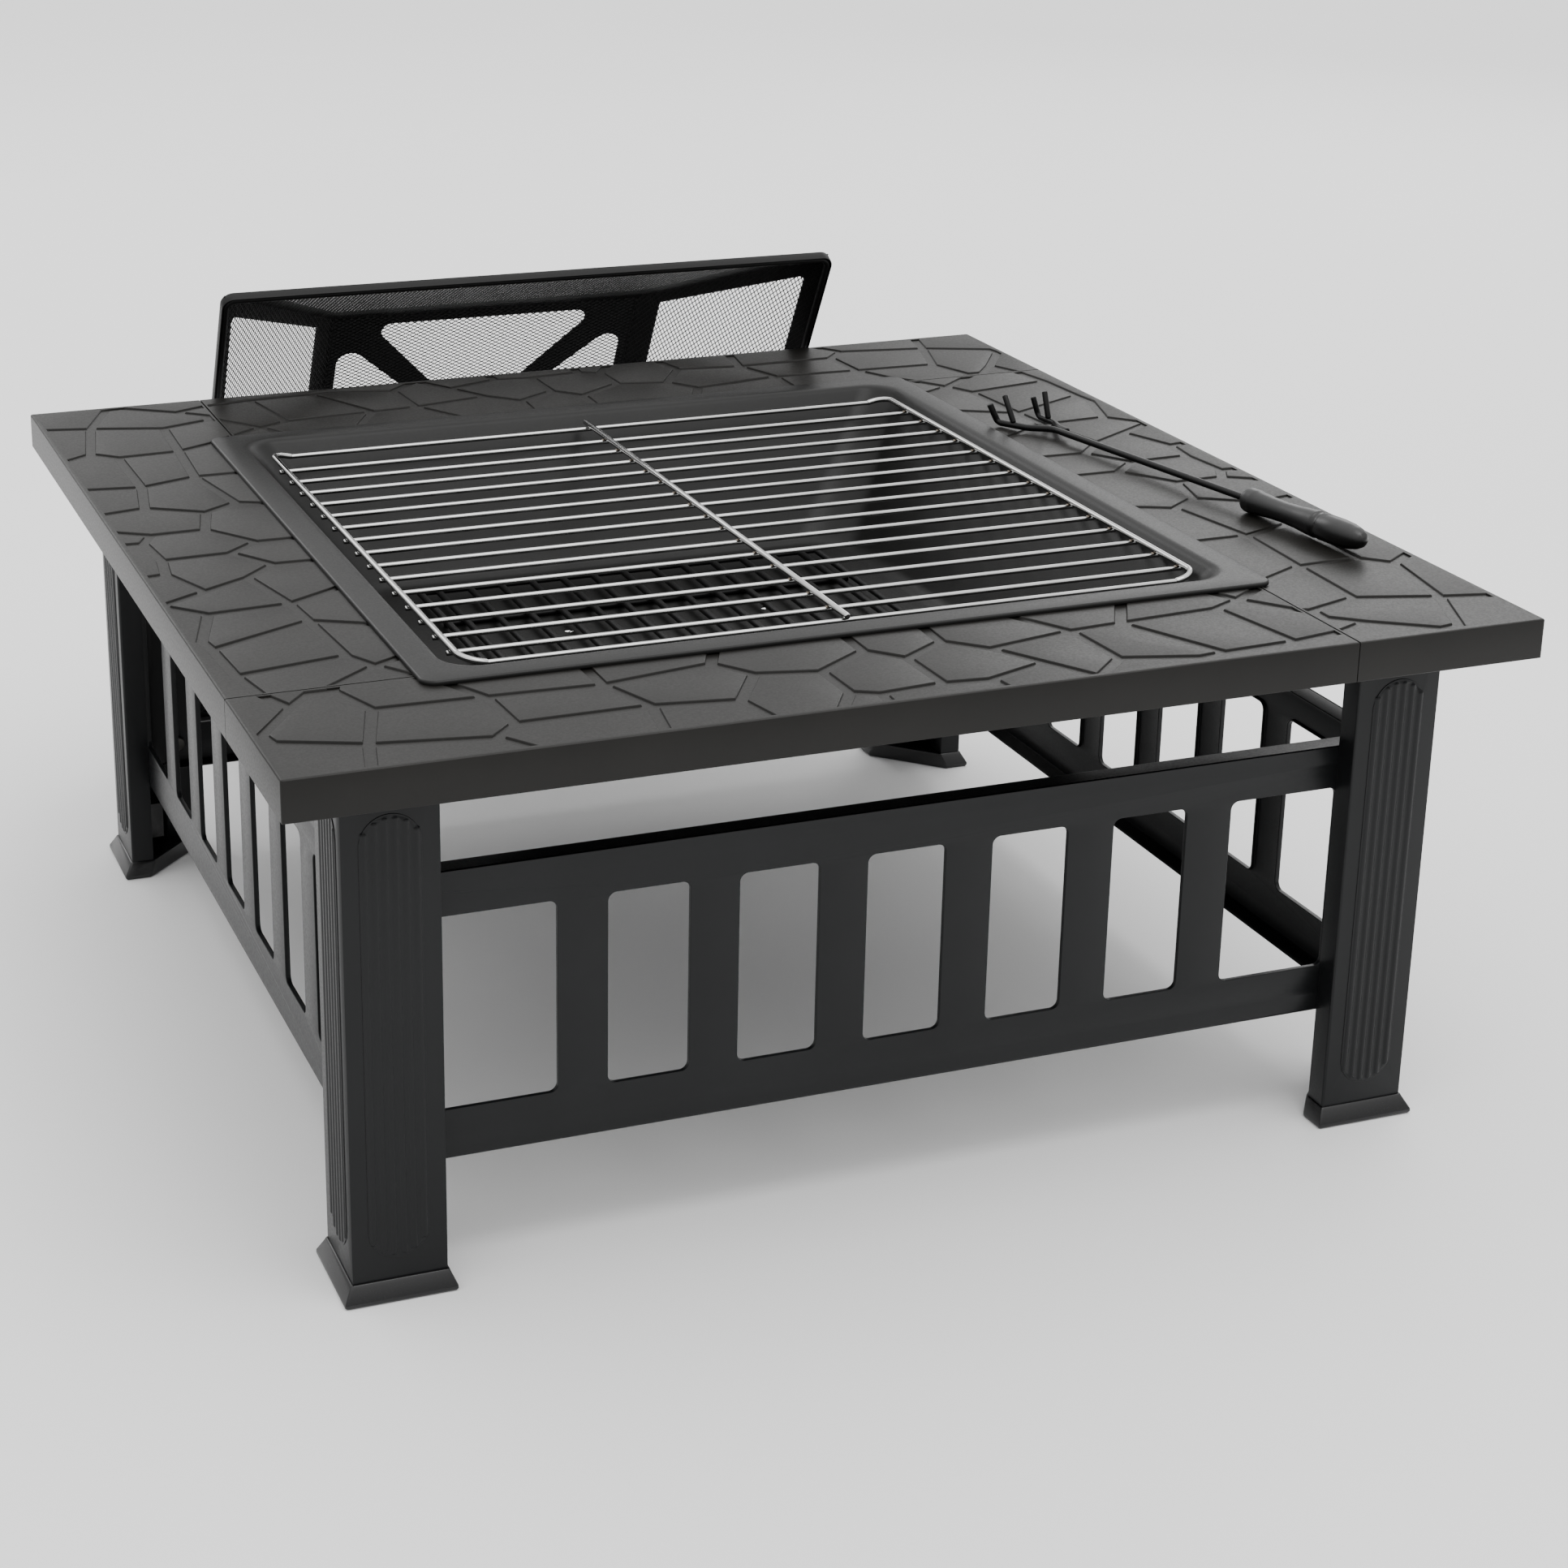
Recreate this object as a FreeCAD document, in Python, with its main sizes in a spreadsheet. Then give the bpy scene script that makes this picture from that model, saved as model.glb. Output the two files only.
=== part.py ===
import FreeCAD, Part
import math
import os

# Square steel fire pit table: four stamped top panels laid like a pinwheel round a square fire bowl,
# four folded corner legs on plastic feet, four pierced side frames, a charcoal grate and a chrome
# cooking grate in the bowl, a wire-mesh spark screen leaning on the back edge and a fire fork lying
# on the right-hand panel.  Millimetres, +X along the front edge, +Y away from it, +Z up.  Everything
# is drawn about the centre of the table, and the whole set is moved along Y at the end so that the
# origin is the middle of its footprint on the floor.

V = FreeCAD.Vector
UP = V(0, 0, 1)

SIZES = [
    ("top_side", 813.0, "table top, edge to edge"),
    ("top_height", 359.0, "floor to the top of the stamped stones"),
    ("panel_width", 134.5, "outer edge to the bowl opening"),
    ("panel_thick", 1.2, "sheet of the top panels"),
    ("stone_rise", 1.2, "height of the stamped stones"),
    ("channel_width", 6.2, "width of the channels between stones"),
    ("fold_strip", 4.4, "full-height border along the outer folds"),
    ("seam_strip", 1.8, "full-height border along the seams and the opening"),
    ("seam_gap", 0.7, "gap between a panel end and the next panel"),
    ("skirt_depth", 26.0, "top of the stones to the lower edge of the skirt"),
    ("skirt_hem", 8.0, "inward hem at the foot of the skirt"),
    ("inner_lip", 14.0, "down-turned edge at the bowl opening"),
    ("leg_inset", 43.2, "skirt face to leg face"),
    ("leg_width", 59.3, "each outer face of a leg"),
    ("leg_return", 17.0, "leg face back to the side frame"),
    ("leg_lip", 22.0, "lip that the side frame bolts to"),
    ("leg_thick", 1.2, "sheet of the legs"),
    ("field_rise", 0.6, "height of the round-ended field on a leg face"),
    ("field_middle", 29.2, "leg corner to the middle of the field"),
    ("flute_rise", 1.4, "height of the flutes on a leg face"),
    ("flute_width", 5.0, "width of one flute"),
    ("flute_pitch", 6.3, "distance between flutes"),
    ("foot_height", 13.0, "floor to the end of the leg"),
    ("foot_flare", 6.7, "foot beyond the leg face"),
    ("plug_height", 30.0, "plug of the foot inside the leg"),
    ("frame_low", 77.0, "floor to the lower edge of a side frame"),
    ("frame_high", 264.5, "floor to the upper edge of a side frame"),
    ("window_low", 109.5, "floor to the foot of the windows"),
    ("window_high", 236.0, "floor to the head of the windows"),
    ("window_width", 52.7, "one inner window"),
    ("window_pitch", 84.7, "window to window"),
    ("window_radius", 5.5, "corner radius of the windows"),
    ("frame_thick", 1.2, "sheet of the side frames"),
    ("frame_flange", 15.4, "depth of the folded long edges"),
    ("frame_end", 23.3, "end of a side frame from the leg face"),
    ("bolt_size", 6.0, "shank of the frame bolts and studs"),
    ("bowl_rest", 15.0, "flange of the bowl beyond the opening"),
    ("bowl_rise", 3.0, "flange of the bowl above the stones"),
    ("bowl_thick", 1.5, "sheet of the bowl"),
    ("bowl_depth", 104.5, "flange top to the inside of the bowl floor"),
    ("bowl_slope", 0.66, "inward run of the wall per unit of depth"),
    ("bowl_corner", 24.0, "corner radius of the bowl mouth"),
    ("flange_corner", 10.0, "corner radius of the bowl flange"),
    ("bowl_shift", -5.0, "bowl off the middle of the opening"),
    ("drain_hole", 8.0, "drain holes in the bowl floor"),
    ("drain_x", 77.0, "drain holes off the middle, sideways"),
    ("drain_y", 59.0, "drain holes off the middle, to the front and back"),
    ("grate_gap", 19.5, "opening edge to the side rod of the cooking grate"),
    ("grate_end_gap", 29.0, "opening edge to the front and back bars of the cooking grate"),
    ("grate_shift_x", 2.5, "cooking grate off the middle of the bowl, sideways"),
    ("grate_shift_y", -1.5, "cooking grate off the middle of the bowl, to the back"),
    ("grate_drop", 4.9, "stone tops down to the bars of the cooking grate"),
    ("bar_size", 3.4, "bars of the cooking grate"),
    ("side_rod_size", 4.2, "side and centre rods of the cooking grate"),
    ("side_rod_bend", 13.0, "bend radius of the side rods"),
    ("coal_gap", 37.2, "foot of the bowl wall to the charcoal grate"),
    ("coal_bar", 5.0, "bars of the charcoal grate"),
    ("coal_cross", 4.0, "cross rods of the charcoal grate"),
    ("screen_gap", 15.0, "opening edge to the rim of the spark screen"),
    ("screen_depth", 101.7, "rim to the flat of the spark screen"),
    ("screen_flat", 137.0, "half width of the flat of the spark screen"),
    ("screen_wall", 8.0, "upright rim of the spark screen"),
    ("screen_thick", 1.0, "sheet of the spark screen"),
    ("mesh_thick", 0.8, "wire mesh of the spark screen"),
    ("handle_reach", 42.0, "half length of the screen handle"),
    ("handle_rise", 34.0, "height of the screen handle"),
    ("rivet_size", 4.0, "rivets of the screen handle"),
    ("screen_tilt", 29.7, "lean of the spark screen from upright, degrees"),
    ("screen_turn", -1.27, "turn of the spark screen about the vertical, degrees"),
    ("fork_shaft", 5.0, "shaft of the fork"),
    ("fork_tine", 4.4, "tines of the fork"),
    ("fork_grip", 9.6, "largest radius of the fork handle"),
]

DOC = FreeCAD.newDocument("fire_pit")
SHEET = DOC.addObject("Spreadsheet::Sheet", "Size")
NODES = []


def fill_sheet():
    for row, (alias, value, note) in enumerate(SIZES, start=1):
        SHEET.set("A%d" % row, alias)
        SHEET.set("B%d" % row, str(value))
        SHEET.setAlias("B%d" % row, alias)
        SHEET.set("C%d" % row, note)
    DOC.recompute()


def size(alias):
    return float(SHEET.get(alias))


def add_node(obj, label, placement=None):
    """Names a finished piece and puts it in its place."""
    obj.Label = label
    if placement is not None:
        obj.Placement = placement
    NODES.append(obj)
    return obj


def quarter(index):
    """A quarter turn about the middle of the table, from the front towards the right."""
    return FreeCAD.Placement(V(0, 0, 0), FreeCAD.Rotation(UP, 90.0 * index))


SIDES = ("front", "right", "back", "left")
CORNERS = ("front_left", "front_right", "back_right", "back_left")


# ---------------------------------------------------------------- simple solids


def bind(obj, **expressions):
    for name, text in expressions.items():
        obj.setExpression(name, text)
    return obj


def box(name, length, width, height, base):
    obj = DOC.addObject("Part::Box", name)
    bind(obj, Length=length, Width=width, Height=height)
    obj.Placement = FreeCAD.Placement(base, FreeCAD.Rotation())
    return obj


def rod(name, radius, length, base, along):
    """A round bar from base, pointing along a direction; radius and length are expressions."""
    obj = DOC.addObject("Part::Cylinder", name)
    bind(obj, Radius=radius)
    if isinstance(length, str):
        bind(obj, Height=length)
    else:
        obj.Height = length
    obj.Placement = FreeCAD.Placement(base, FreeCAD.Rotation(UP, along))
    return obj


def bent_rod(points, bends, radius):
    """A round bar through the points, each inner corner rounded to its own bend radius."""
    edges = []
    start = points[0]
    for i, bend in enumerate(bends, start=1):
        entry, middle, leave = corner_arc(points[i - 1], points[i], points[i + 1], bend)
        edges.append(Part.makeLine(start, entry))
        edges.append(Part.Arc(entry, middle, leave).toShape())
        start = leave
    edges.append(Part.makeLine(start, points[-1]))
    profile = Part.Wire(Part.makeCircle(radius, points[0], points[1] - points[0]))
    return Part.Wire(edges).makePipeShell([profile], True, False)


def fuse(name, parts):
    obj = DOC.addObject("Part::MultiFuse", name)
    obj.Shapes = parts
    return obj


def cut(name, base, tool):
    obj = DOC.addObject("Part::Cut", name)
    obj.Base = base
    obj.Tool = tool
    return obj


def group(name, parts):
    """Separate solids that share one node."""
    obj = DOC.addObject("Part::Compound", name)
    obj.Links = parts
    return obj


def solid_feature(name, shape):
    obj = DOC.addObject("Part::Feature", name)
    obj.Shape = shape
    return obj


# ---------------------------------------------------------------- sketches and bodies


def new_body(name):
    return DOC.addObject("PartDesign::Body", name)


def plane_of(body, role):
    for feature in body.Origin.OriginFeatures:
        if feature.Role == role:
            return feature
    raise RuntimeError("no plane " + role)


def new_sketch(body, name, role="XY_Plane", offset=0.0):
    sketch = body.newObject("Sketcher::SketchObject", name)
    sketch.AttachmentSupport = [(plane_of(body, role), "")]
    sketch.MapMode = "FlatFace"
    sketch.AttachmentOffset = FreeCAD.Placement(V(0, 0, offset), FreeCAD.Rotation())
    return sketch


def polygon(sketch, points):
    """A closed loop of straight lines."""
    corners = [V(x, y, 0) for x, y in points]
    for start, end in zip(corners, corners[1:] + corners[:1]):
        sketch.addGeometry(Part.LineSegment(start, end), False)


def corner_arc(before, here, after, radius):
    """Start, middle and end of the arc that rounds the corner at a point."""
    to_before = (before - here).normalize()
    to_after = (after - here).normalize()
    half = to_before.getAngle(to_after) / 2
    run = radius / math.tan(half)
    middle = (to_before + to_after).normalize()
    centre = here + middle * (radius / math.sin(half))
    return here + to_before * run, centre - middle * radius, here + to_after * run


def rounded_polygon(sketch, points, radii):
    """A closed loop of lines joined by tangent arcs, one radius for each corner."""
    count = len(points)
    corners = [V(x, y, 0) for x, y in points]
    ends = []
    for i in range(count):
        ends.append(corner_arc(corners[i - 1], corners[i], corners[(i + 1) % count], radii[i]))
    for i in range(count):
        sketch.addGeometry(Part.Arc(ends[i][0], ends[i][1], ends[i][2]), False)
        sketch.addGeometry(Part.LineSegment(ends[i][2], ends[(i + 1) % count][0]), False)


def rounded_square(half, radius, height, name="Section"):
    """A free sketch of a square with round corners, used as one section of a loft."""
    sketch = DOC.addObject("Sketcher::SketchObject", name)
    corners = [(-half, -half), (half, -half), (half, half), (-half, half)]
    rounded_polygon(sketch, corners, [radius] * 4)
    sketch.Placement = FreeCAD.Placement(V(0, 0, height), FreeCAD.Rotation())
    return sketch


def loft(name, sections):
    obj = DOC.addObject("Part::Loft", name)
    obj.Sections = sections
    obj.Solid = True
    obj.Ruled = True
    return obj


def pad(body, sketch, length, name, reverse=False):
    feature = body.newObject("PartDesign::Pad", name)
    feature.Profile = sketch
    feature.setExpression("Length", length)
    feature.Reversed = reverse
    return feature


# ---------------------------------------------------------------- stamped top panels

# Channel junctions of the stamped stone pattern on one panel, as seen from above with the panel at
# the front: x along the front edge and y towards the bowl, from the middle of the table.
JUNCTIONS = {
    "corner": (-406.5, -406.5),
    "edge_a": (-355.0, -406.5),
    "edge_b": (-259.5, -406.5),
    "edge_c": (-182.5, -406.5),
    "edge_d": (-116.5, -406.5),
    "edge_e": (-74.0, -406.5),
    "edge_f": (-43.0, -406.5),
    "edge_g": (32.5, -406.5),
    "edge_h": (93.0, -406.5),
    "end_low": (272.0, -406.5),
    "side": (-406.5, -339.0),
    "side_top": (-406.5, -272.0),
    "seam_a": (-384.5, -272.0),
    "seam_b": (-341.0, -272.0),
    "seam_c": (-290.5, -272.0),
    "lip_a": (-190.4, -272.0),
    "lip_b": (-101.5, -272.0),
    "lip_c": (-20.5, -272.0),
    "lip_d": (33.0, -272.0),
    "lip_e": (83.0, -272.0),
    "lip_f": (181.0, -272.0),
    "lip_g": (231.0, -272.0),
    "end_top": (272.0, -272.0),
    "end_a": (272.0, -384.5),
    "end_b": (272.0, -341.0),
    "end_c": (272.0, -290.5),
    "a": (-373.5, -297.5),
    "b": (-399.5, -336.0),
    "c": (-397.0, -349.0),
    "d": (-357.5, -278.0),
    "e": (-343.0, -278.0),
    "f": (-330.0, -316.5),
    "g": (-261.5, -319.0),
    "g2": (-276.0, -290.0),
    "h": (-190.5, -322.5),
    "i": (-117.0, -309.5),
    "i2": (-108.0, -290.0),
    "j": (-99.5, -334.5),
    "k": (-59.5, -344.0),
    "l": (-346.5, -370.0),
    "m": (-275.5, -383.0),
    "n": (-259.0, -365.5),
    "o": (-175.5, -364.5),
    "p": (-123.5, -373.0),
    "q": (-58.5, -382.0),
    "r": (-21.0, -318.0),
    "s": (-1.5, -339.5),
    "t": (31.0, -318.5),
    "u": (0.0, -386.5),
    "v": (54.0, -341.0),
    "w": (115.5, -328.0),
    "w2": (95.0, -293.0),
    "x": (152.0, -325.0),
    "x2": (170.0, -292.0),
    "y": (246.0, -308.5),
    "y2": (236.0, -290.0),
    "z": (223.0, -320.0),
    "aa": (236.0, -391.0),
    "bb": (73.5, -374.0),
    "cc": (-42.0, -390.5),
    "dd": (30.0, -390.0),
    "ee": (119.0, -382.0),
    "ff": (168.0, -396.5),
    "gg": (185.5, -394.0),
}

# Each stone as the junctions round it.
STONES = [
    ("side_top", "side", "b", "a", "seam_a"),
    ("seam_a", "a", "d", "e", "seam_b"),
    ("a", "b", "c", "l", "f", "e", "d"),
    ("corner", "edge_a", "l", "c", "b", "side"),
    ("seam_b", "e", "f", "g", "g2", "seam_c"),
    ("f", "l", "m", "n", "g"),
    ("l", "edge_a", "edge_b", "m"),
    ("seam_c", "g2", "g", "h", "lip_a"),
    ("g", "n", "o", "h"),
    ("m", "edge_b", "edge_c", "o", "n"),
    ("lip_a", "h", "i", "i2", "lip_b"),
    ("h", "o", "p", "j", "i"),
    ("o", "edge_c", "edge_d", "p"),
    ("lip_b", "i2", "i", "j", "k", "r", "lip_c"),
    ("j", "p", "edge_d", "edge_e", "q", "k"),
    ("edge_e", "edge_f", "cc", "q"),
    ("k", "q", "cc", "u", "s", "r"),
    ("lip_c", "r", "s", "t", "lip_d"),
    ("s", "u", "dd", "bb", "v", "t"),
    ("edge_f", "edge_g", "dd", "u", "cc"),
    ("edge_g", "edge_h", "bb", "dd"),
    ("lip_d", "t", "v", "w", "w2", "lip_e"),
    ("v", "bb", "edge_h", "ee", "w"),
    ("edge_h", "end_low", "end_a", "aa", "gg", "ff", "ee"),
    ("lip_e", "w2", "w", "x", "x2", "lip_f"),
    ("w", "ee", "ff", "gg", "x"),
    ("lip_f", "x2", "x", "z", "y", "y2", "lip_g"),
    ("x", "gg", "aa", "z"),
    ("z", "aa", "end_a", "end_b", "y"),
    ("lip_g", "y2", "y", "end_c", "end_top"),
    ("y", "end_b", "end_c"),
]

NOMINAL_HALF = 406.5
NOMINAL_WIDTH = 134.5
NOMINAL_END = 272.0
STONE_LEAN = 0.9


def junction(name):
    """The junction in the panel of this size: the pattern stretches with the panel."""
    x, y = JUNCTIONS[name]
    half = size("top_side") / 2
    width = size("panel_width")
    along = (x + NOMINAL_HALF) / (NOMINAL_END + NOMINAL_HALF)
    across = (y + NOMINAL_HALF) / NOMINAL_WIDTH
    length = 2 * half - width - size("seam_gap")
    return (-half + along * length, -half + across * width)


def edge_margin(one, two):
    """How far a stone stays from the line between two junctions, and the lean of its side."""
    ax, ay = JUNCTIONS[one]
    bx, by = JUNCTIONS[two]
    if ax == bx == -NOMINAL_HALF or ay == by == -NOMINAL_HALF:
        return size("fold_strip") / 2, 0.0
    if ax == bx == NOMINAL_END or ay == by == -NOMINAL_END:
        return size("seam_strip") / 2, 0.0
    return size("channel_width") / 2, STONE_LEAN


def inset(points, margins):
    """The loop moved inwards, with its own distance for each edge."""
    count = len(points)
    area = sum(
        points[i][0] * points[(i + 1) % count][1] - points[(i + 1) % count][0] * points[i][1]
        for i in range(count)
    )
    side = 1.0 if area > 0 else -1.0
    lines = []
    for i in range(count):
        ax, ay = points[i]
        bx, by = points[(i + 1) % count]
        run = math.hypot(bx - ax, by - ay)
        nx = -(by - ay) / run * side
        ny = (bx - ax) / run * side
        lines.append((ax + nx * margins[i], ay + ny * margins[i], bx - ax, by - ay))
    result = []
    for i in range(count):
        px, py, dx, dy = lines[i - 1]
        qx, qy, ex, ey = lines[i]
        cross = dx * ey - dy * ex
        step = ((qx - px) * ey - (qy - py) * ex) / cross
        result.append((px + dx * step, py + dy * step))
    return result


def stone_solid(names, low, high):
    """One stone: a low block whose sides lean in a little and run into the borders."""
    points = [junction(name) for name in names]
    margins = [edge_margin(names[i], names[(i + 1) % len(names)]) for i in range(len(names))]
    wires = []
    for level, share in ((low, 0.0), (high, 1.0)):
        loop = inset(points, [margin + lean * share for margin, lean in margins])
        corners = [V(x, y, level) for x, y in loop]
        wires.append(Part.makePolygon(corners + corners[:1]))
    return Part.makeLoft(wires, True, True)


def tabletop_panel(index):
    """One skirted panel with its stones; it owns the corner at the start of its front edge."""
    half = size("top_side") / 2
    opening = half - size("panel_width")
    top = size("top_height")
    high = top - size("stone_rise")
    low = high - size("panel_thick")
    skirt = top - size("skirt_depth")
    sheet = size("panel_thick")
    start = V(-half, -half, skirt)
    length = "Size.top_side - Size.panel_width - Size.seam_gap"
    width = "Size.panel_width"
    thick = "Size.panel_thick"
    hem = "Size.skirt_hem"
    root = 0.9
    rise = "Size.stone_rise + %s" % root
    border = V(-half, -half, high - root)
    seam_end = opening - size("seam_gap") - size("seam_strip")
    lip_start = V(-half, -opening - size("seam_strip"), high - root)
    inner = V(-opening, -opening - sheet, high - size("inner_lip"))
    parts = [
        box("Plate", length, width, thick, V(-half, -half, low)),
        box("Skirt", length, thick, "Size.skirt_depth", start),
        box("EndSkirt", thick, width, "Size.skirt_depth", start),
        box("Hem", length, hem, thick, start),
        box("EndHem", hem, width, thick, start),
        box("InnerLip", "Size.top_side - 2 * Size.panel_width", thick, "Size.inner_lip", inner),
        box("FoldStrip", length, "Size.fold_strip", rise, border),
        box("EndFoldStrip", "Size.fold_strip", width, rise, border),
        box("LipStrip", length, "Size.seam_strip", rise, lip_start),
        box("SeamStrip", "Size.seam_strip", width, rise, V(seam_end, -half, high - root)),
    ]
    for names in STONES:
        parts.append(solid_feature("Stone", stone_solid(names, high - root, top)))
    panel = fuse("Panel", parts)
    panel.Refine = True
    add_node(panel, "tabletop_panel_" + SIDES[index], quarter(index))


# ---------------------------------------------------------------- fasteners


def hexagon(across):
    radius = across / math.sqrt(3.0)
    corners = []
    for i in range(6):
        angle = math.radians(60.0 * i)
        corners.append((radius * math.cos(angle), radius * math.sin(angle)))
    return corners


def nut_body(name, placement):
    """A hexagon nut standing on its local XY plane."""
    body = new_body(name)
    sketch = new_sketch(body, name + "Outline")
    polygon(sketch, hexagon(size("bolt_size") * 1.66))
    radius = size("bolt_size") / 2 + 0.15
    sketch.addGeometry(Part.Circle(V(0, 0, 0), UP, radius), False)
    pad(body, sketch, "Size.bolt_size * 0.8", name + "Pad")
    body.Placement = placement
    return body


def bolt_feature(name, grip, placement):
    """A round-headed bolt: the head sits below its local XY plane and the shank rises from it."""
    radius = "Size.bolt_size * 0.92"
    head = rod(name + "Head", radius, "Size.bolt_size * 0.55", V(0, 0, 0), UP * -1)
    shank = rod(name + "Shank", "Size.bolt_size / 2", grip, V(0, 0, -0.5), UP)
    body = fuse(name, [head, shank])
    body.Placement = placement
    return body


def facing(point, direction):
    return FreeCAD.Placement(point, FreeCAD.Rotation(UP, direction))


def seam_joints():
    """Under each seam a joint plate hangs on two studs of each panel and is held by nuts."""
    half = size("top_side") / 2
    opening = half - size("panel_width")
    under = leg_top()
    thick = 2.0
    reach = 18.0
    front_gap = 14.0
    depth = size("panel_width") - 38.0
    studs = []
    nuts = []
    for index in range(4):
        turn = quarter(index)
        start = V(opening - reach, -half + front_gap, under - thick)
        plate = box("JointPlate", str(2 * reach), str(depth), str(thick), start)
        holes = []
        for dx in (-reach / 2, reach / 2):
            for part in (0.3, 0.72):
                spot = V(opening + dx, -half + part * size("panel_width"), under)
                hole = rod("PlateHole", "Size.bolt_size / 2 + 0.3", 6.0, spot - UP * 4.0, UP)
                holes.append(hole)
                foot_point = turn.multVec(spot)
                studs.append(rod("Stud", "Size.bolt_size / 2", 9.0, foot_point, UP * -1))
                seat = facing(foot_point - UP * thick, UP * -1)
                nuts.append(nut_body("SeamNut", seat))
        pierced = cut("PlateCut", plate, group("PlateHoles", holes))
        add_node(pierced, "seam_plate_" + SIDES[index], turn)
    add_node(group("SeamStuds", studs), "seam_studs")
    add_node(group("SeamNuts", nuts), "seam_nuts")


# ---------------------------------------------------------------- legs and feet


def leg_outline():
    """The folded strip seen from above, its outer corner at the origin."""
    face = size("leg_width")
    back = size("leg_return")
    lip = size("leg_lip")
    sheet = size("leg_thick")
    return [
        (0, 0),
        (face, 0),
        (face, back),
        (face - lip, back),
        (face - lip, back - sheet),
        (face - sheet, back - sheet),
        (face - sheet, sheet),
        (sheet, sheet),
        (sheet, face - sheet),
        (back - sheet, face - sheet),
        (back - sheet, face - lip),
        (back, face - lip),
        (back, face),
        (0, face),
    ]


def flute_field():
    """Middle, lower end and upper end of the round-ended field, above the end of the leg."""
    start = size("foot_height")
    high = size("top_height") - 46.0
    return size("field_middle"), 27.0 - start, high - start


def field_outline(sketch):
    """The outline of the field: straight sides and round ends."""
    middle, low, high = flute_field()
    half = 3.0 * size("flute_pitch")
    left = middle - half
    right = middle + half
    foot_left = V(left, low + half, 0)
    foot_right = V(right, low + half, 0)
    head_left = V(left, high - half, 0)
    head_right = V(right, high - half, 0)
    sketch.addGeometry(Part.LineSegment(head_left, foot_left), False)
    sketch.addGeometry(Part.Arc(foot_left, V(middle, low, 0), foot_right), False)
    sketch.addGeometry(Part.LineSegment(foot_right, head_right), False)
    sketch.addGeometry(Part.Arc(head_right, V(middle, high, 0), head_left), False)


def capsule(radius, low, high):
    """A round bar about Z whose ball ends are centred on two heights."""
    slant = radius * math.sqrt(0.5)
    foot_end = V(0, 0, low - radius)
    head_end = V(0, 0, high + radius)
    lower = V(radius, 0, low)
    upper = V(radius, 0, high)
    edges = [
        Part.makeLine(foot_end, head_end),
        Part.Arc(head_end, V(slant, 0, high + slant), upper).toShape(),
        Part.makeLine(upper, lower),
        Part.Arc(lower, V(slant, 0, low - slant), foot_end).toShape(),
    ]
    return Part.Face(Part.Wire(edges)).revolve(V(0, 0, 0), UP, 360)


def flutes(face):
    """Rounded flutes that stand on the front (0) or the side (1) of a leg."""
    rise = size("flute_rise")
    half = size("flute_width") / 2
    radius = (rise**2 + half**2) / (2 * rise)
    depth = radius - rise
    root = 0.4
    middle, low, high = flute_field()
    round_end = 3.0 * size("flute_pitch")
    ridges = []
    for step in (-2.5, -1.5, -0.5, 0.5, 1.5, 2.5):
        offset = step * size("flute_pitch")
        drop = round_end - math.sqrt(round_end**2 - offset**2) + half + 1.0
        bar = capsule(radius, low + drop, high - drop)
        if face == 0:
            bar.translate(V(middle + offset, depth, 0))
            slab = Part.makeBox(2 * radius, 2 * rise + root, high, V(middle + offset - radius, -2 * rise, 0))
        else:
            bar.translate(V(depth, middle + offset, 0))
            slab = Part.makeBox(2 * rise + root, 2 * radius, high, V(-2 * rise, middle + offset - radius, 0))
        ridges.append(solid_feature("Flute", bar.common(slab)))
    return ridges


def leg_top():
    return size("top_height") - size("stone_rise") - size("panel_thick")


def frame_bolt_spots():
    """Distance of a frame bolt from the leg face, and its two heights above the floor."""
    across = size("leg_width") - size("leg_lip") / 2
    low = (size("frame_low") + size("window_low")) / 2
    high = (size("frame_high") + size("window_high")) / 2
    return across, (low, high)


def leg(index):
    start = size("foot_height")
    height = leg_top() - start
    body = new_body("Leg")
    outline = new_sketch(body, "LegOutline")
    polygon(outline, leg_outline())
    pad(body, outline, str(height), "LegPad")
    cap = new_sketch(body, "LegCap", offset=height - size("leg_thick"))
    face = size("leg_width")
    polygon(cap, [(0, 0), (face, 0), (face, face), (0, face)])
    for x, y in leg_stud_spots():
        cap.addGeometry(Part.Circle(V(x, y, 0), UP, size("bolt_size") / 2 + 0.3), False)
    pad(body, cap, "Size.leg_thick", "LegCapPad")
    front = new_sketch(body, "FrontField", "XZ_Plane")
    field_outline(front)
    pad(body, front, "Size.field_rise", "FrontFieldPad")
    side = new_sketch(body, "SideField", "YZ_Plane")
    field_outline(side)
    pad(body, side, "Size.field_rise", "SideFieldPad", True)
    fluted = fuse("LegFluted", [body] + flutes(0) + flutes(1))
    across, heights = frame_bolt_spots()
    back = size("leg_return") - 5.0
    radius = "Size.bolt_size / 2 + 0.3"
    holes = []
    for z in heights:
        holes.append(rod("LipHole", radius, 8.0, V(across, back, z - start), V(0, 1, 0)))
        holes.append(rod("LipHole", radius, 8.0, V(back, across, z - start), V(1, 0, 0)))
    pierced = cut("LegCut", fluted, group("LipHoles", holes))
    reach = size("top_side") / 2 - size("leg_inset")
    place = quarter(index).multiply(FreeCAD.Placement(V(-reach, -reach, start), FreeCAD.Rotation()))
    add_node(pierced, "leg_" + CORNERS[index], place)


def leg_stud_spots():
    """Studs of the top panel that pass through the cap of a leg, from the leg corner."""
    far = size("leg_width") - 12.0
    return [(far, 26.0), (26.0, far)]


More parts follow.
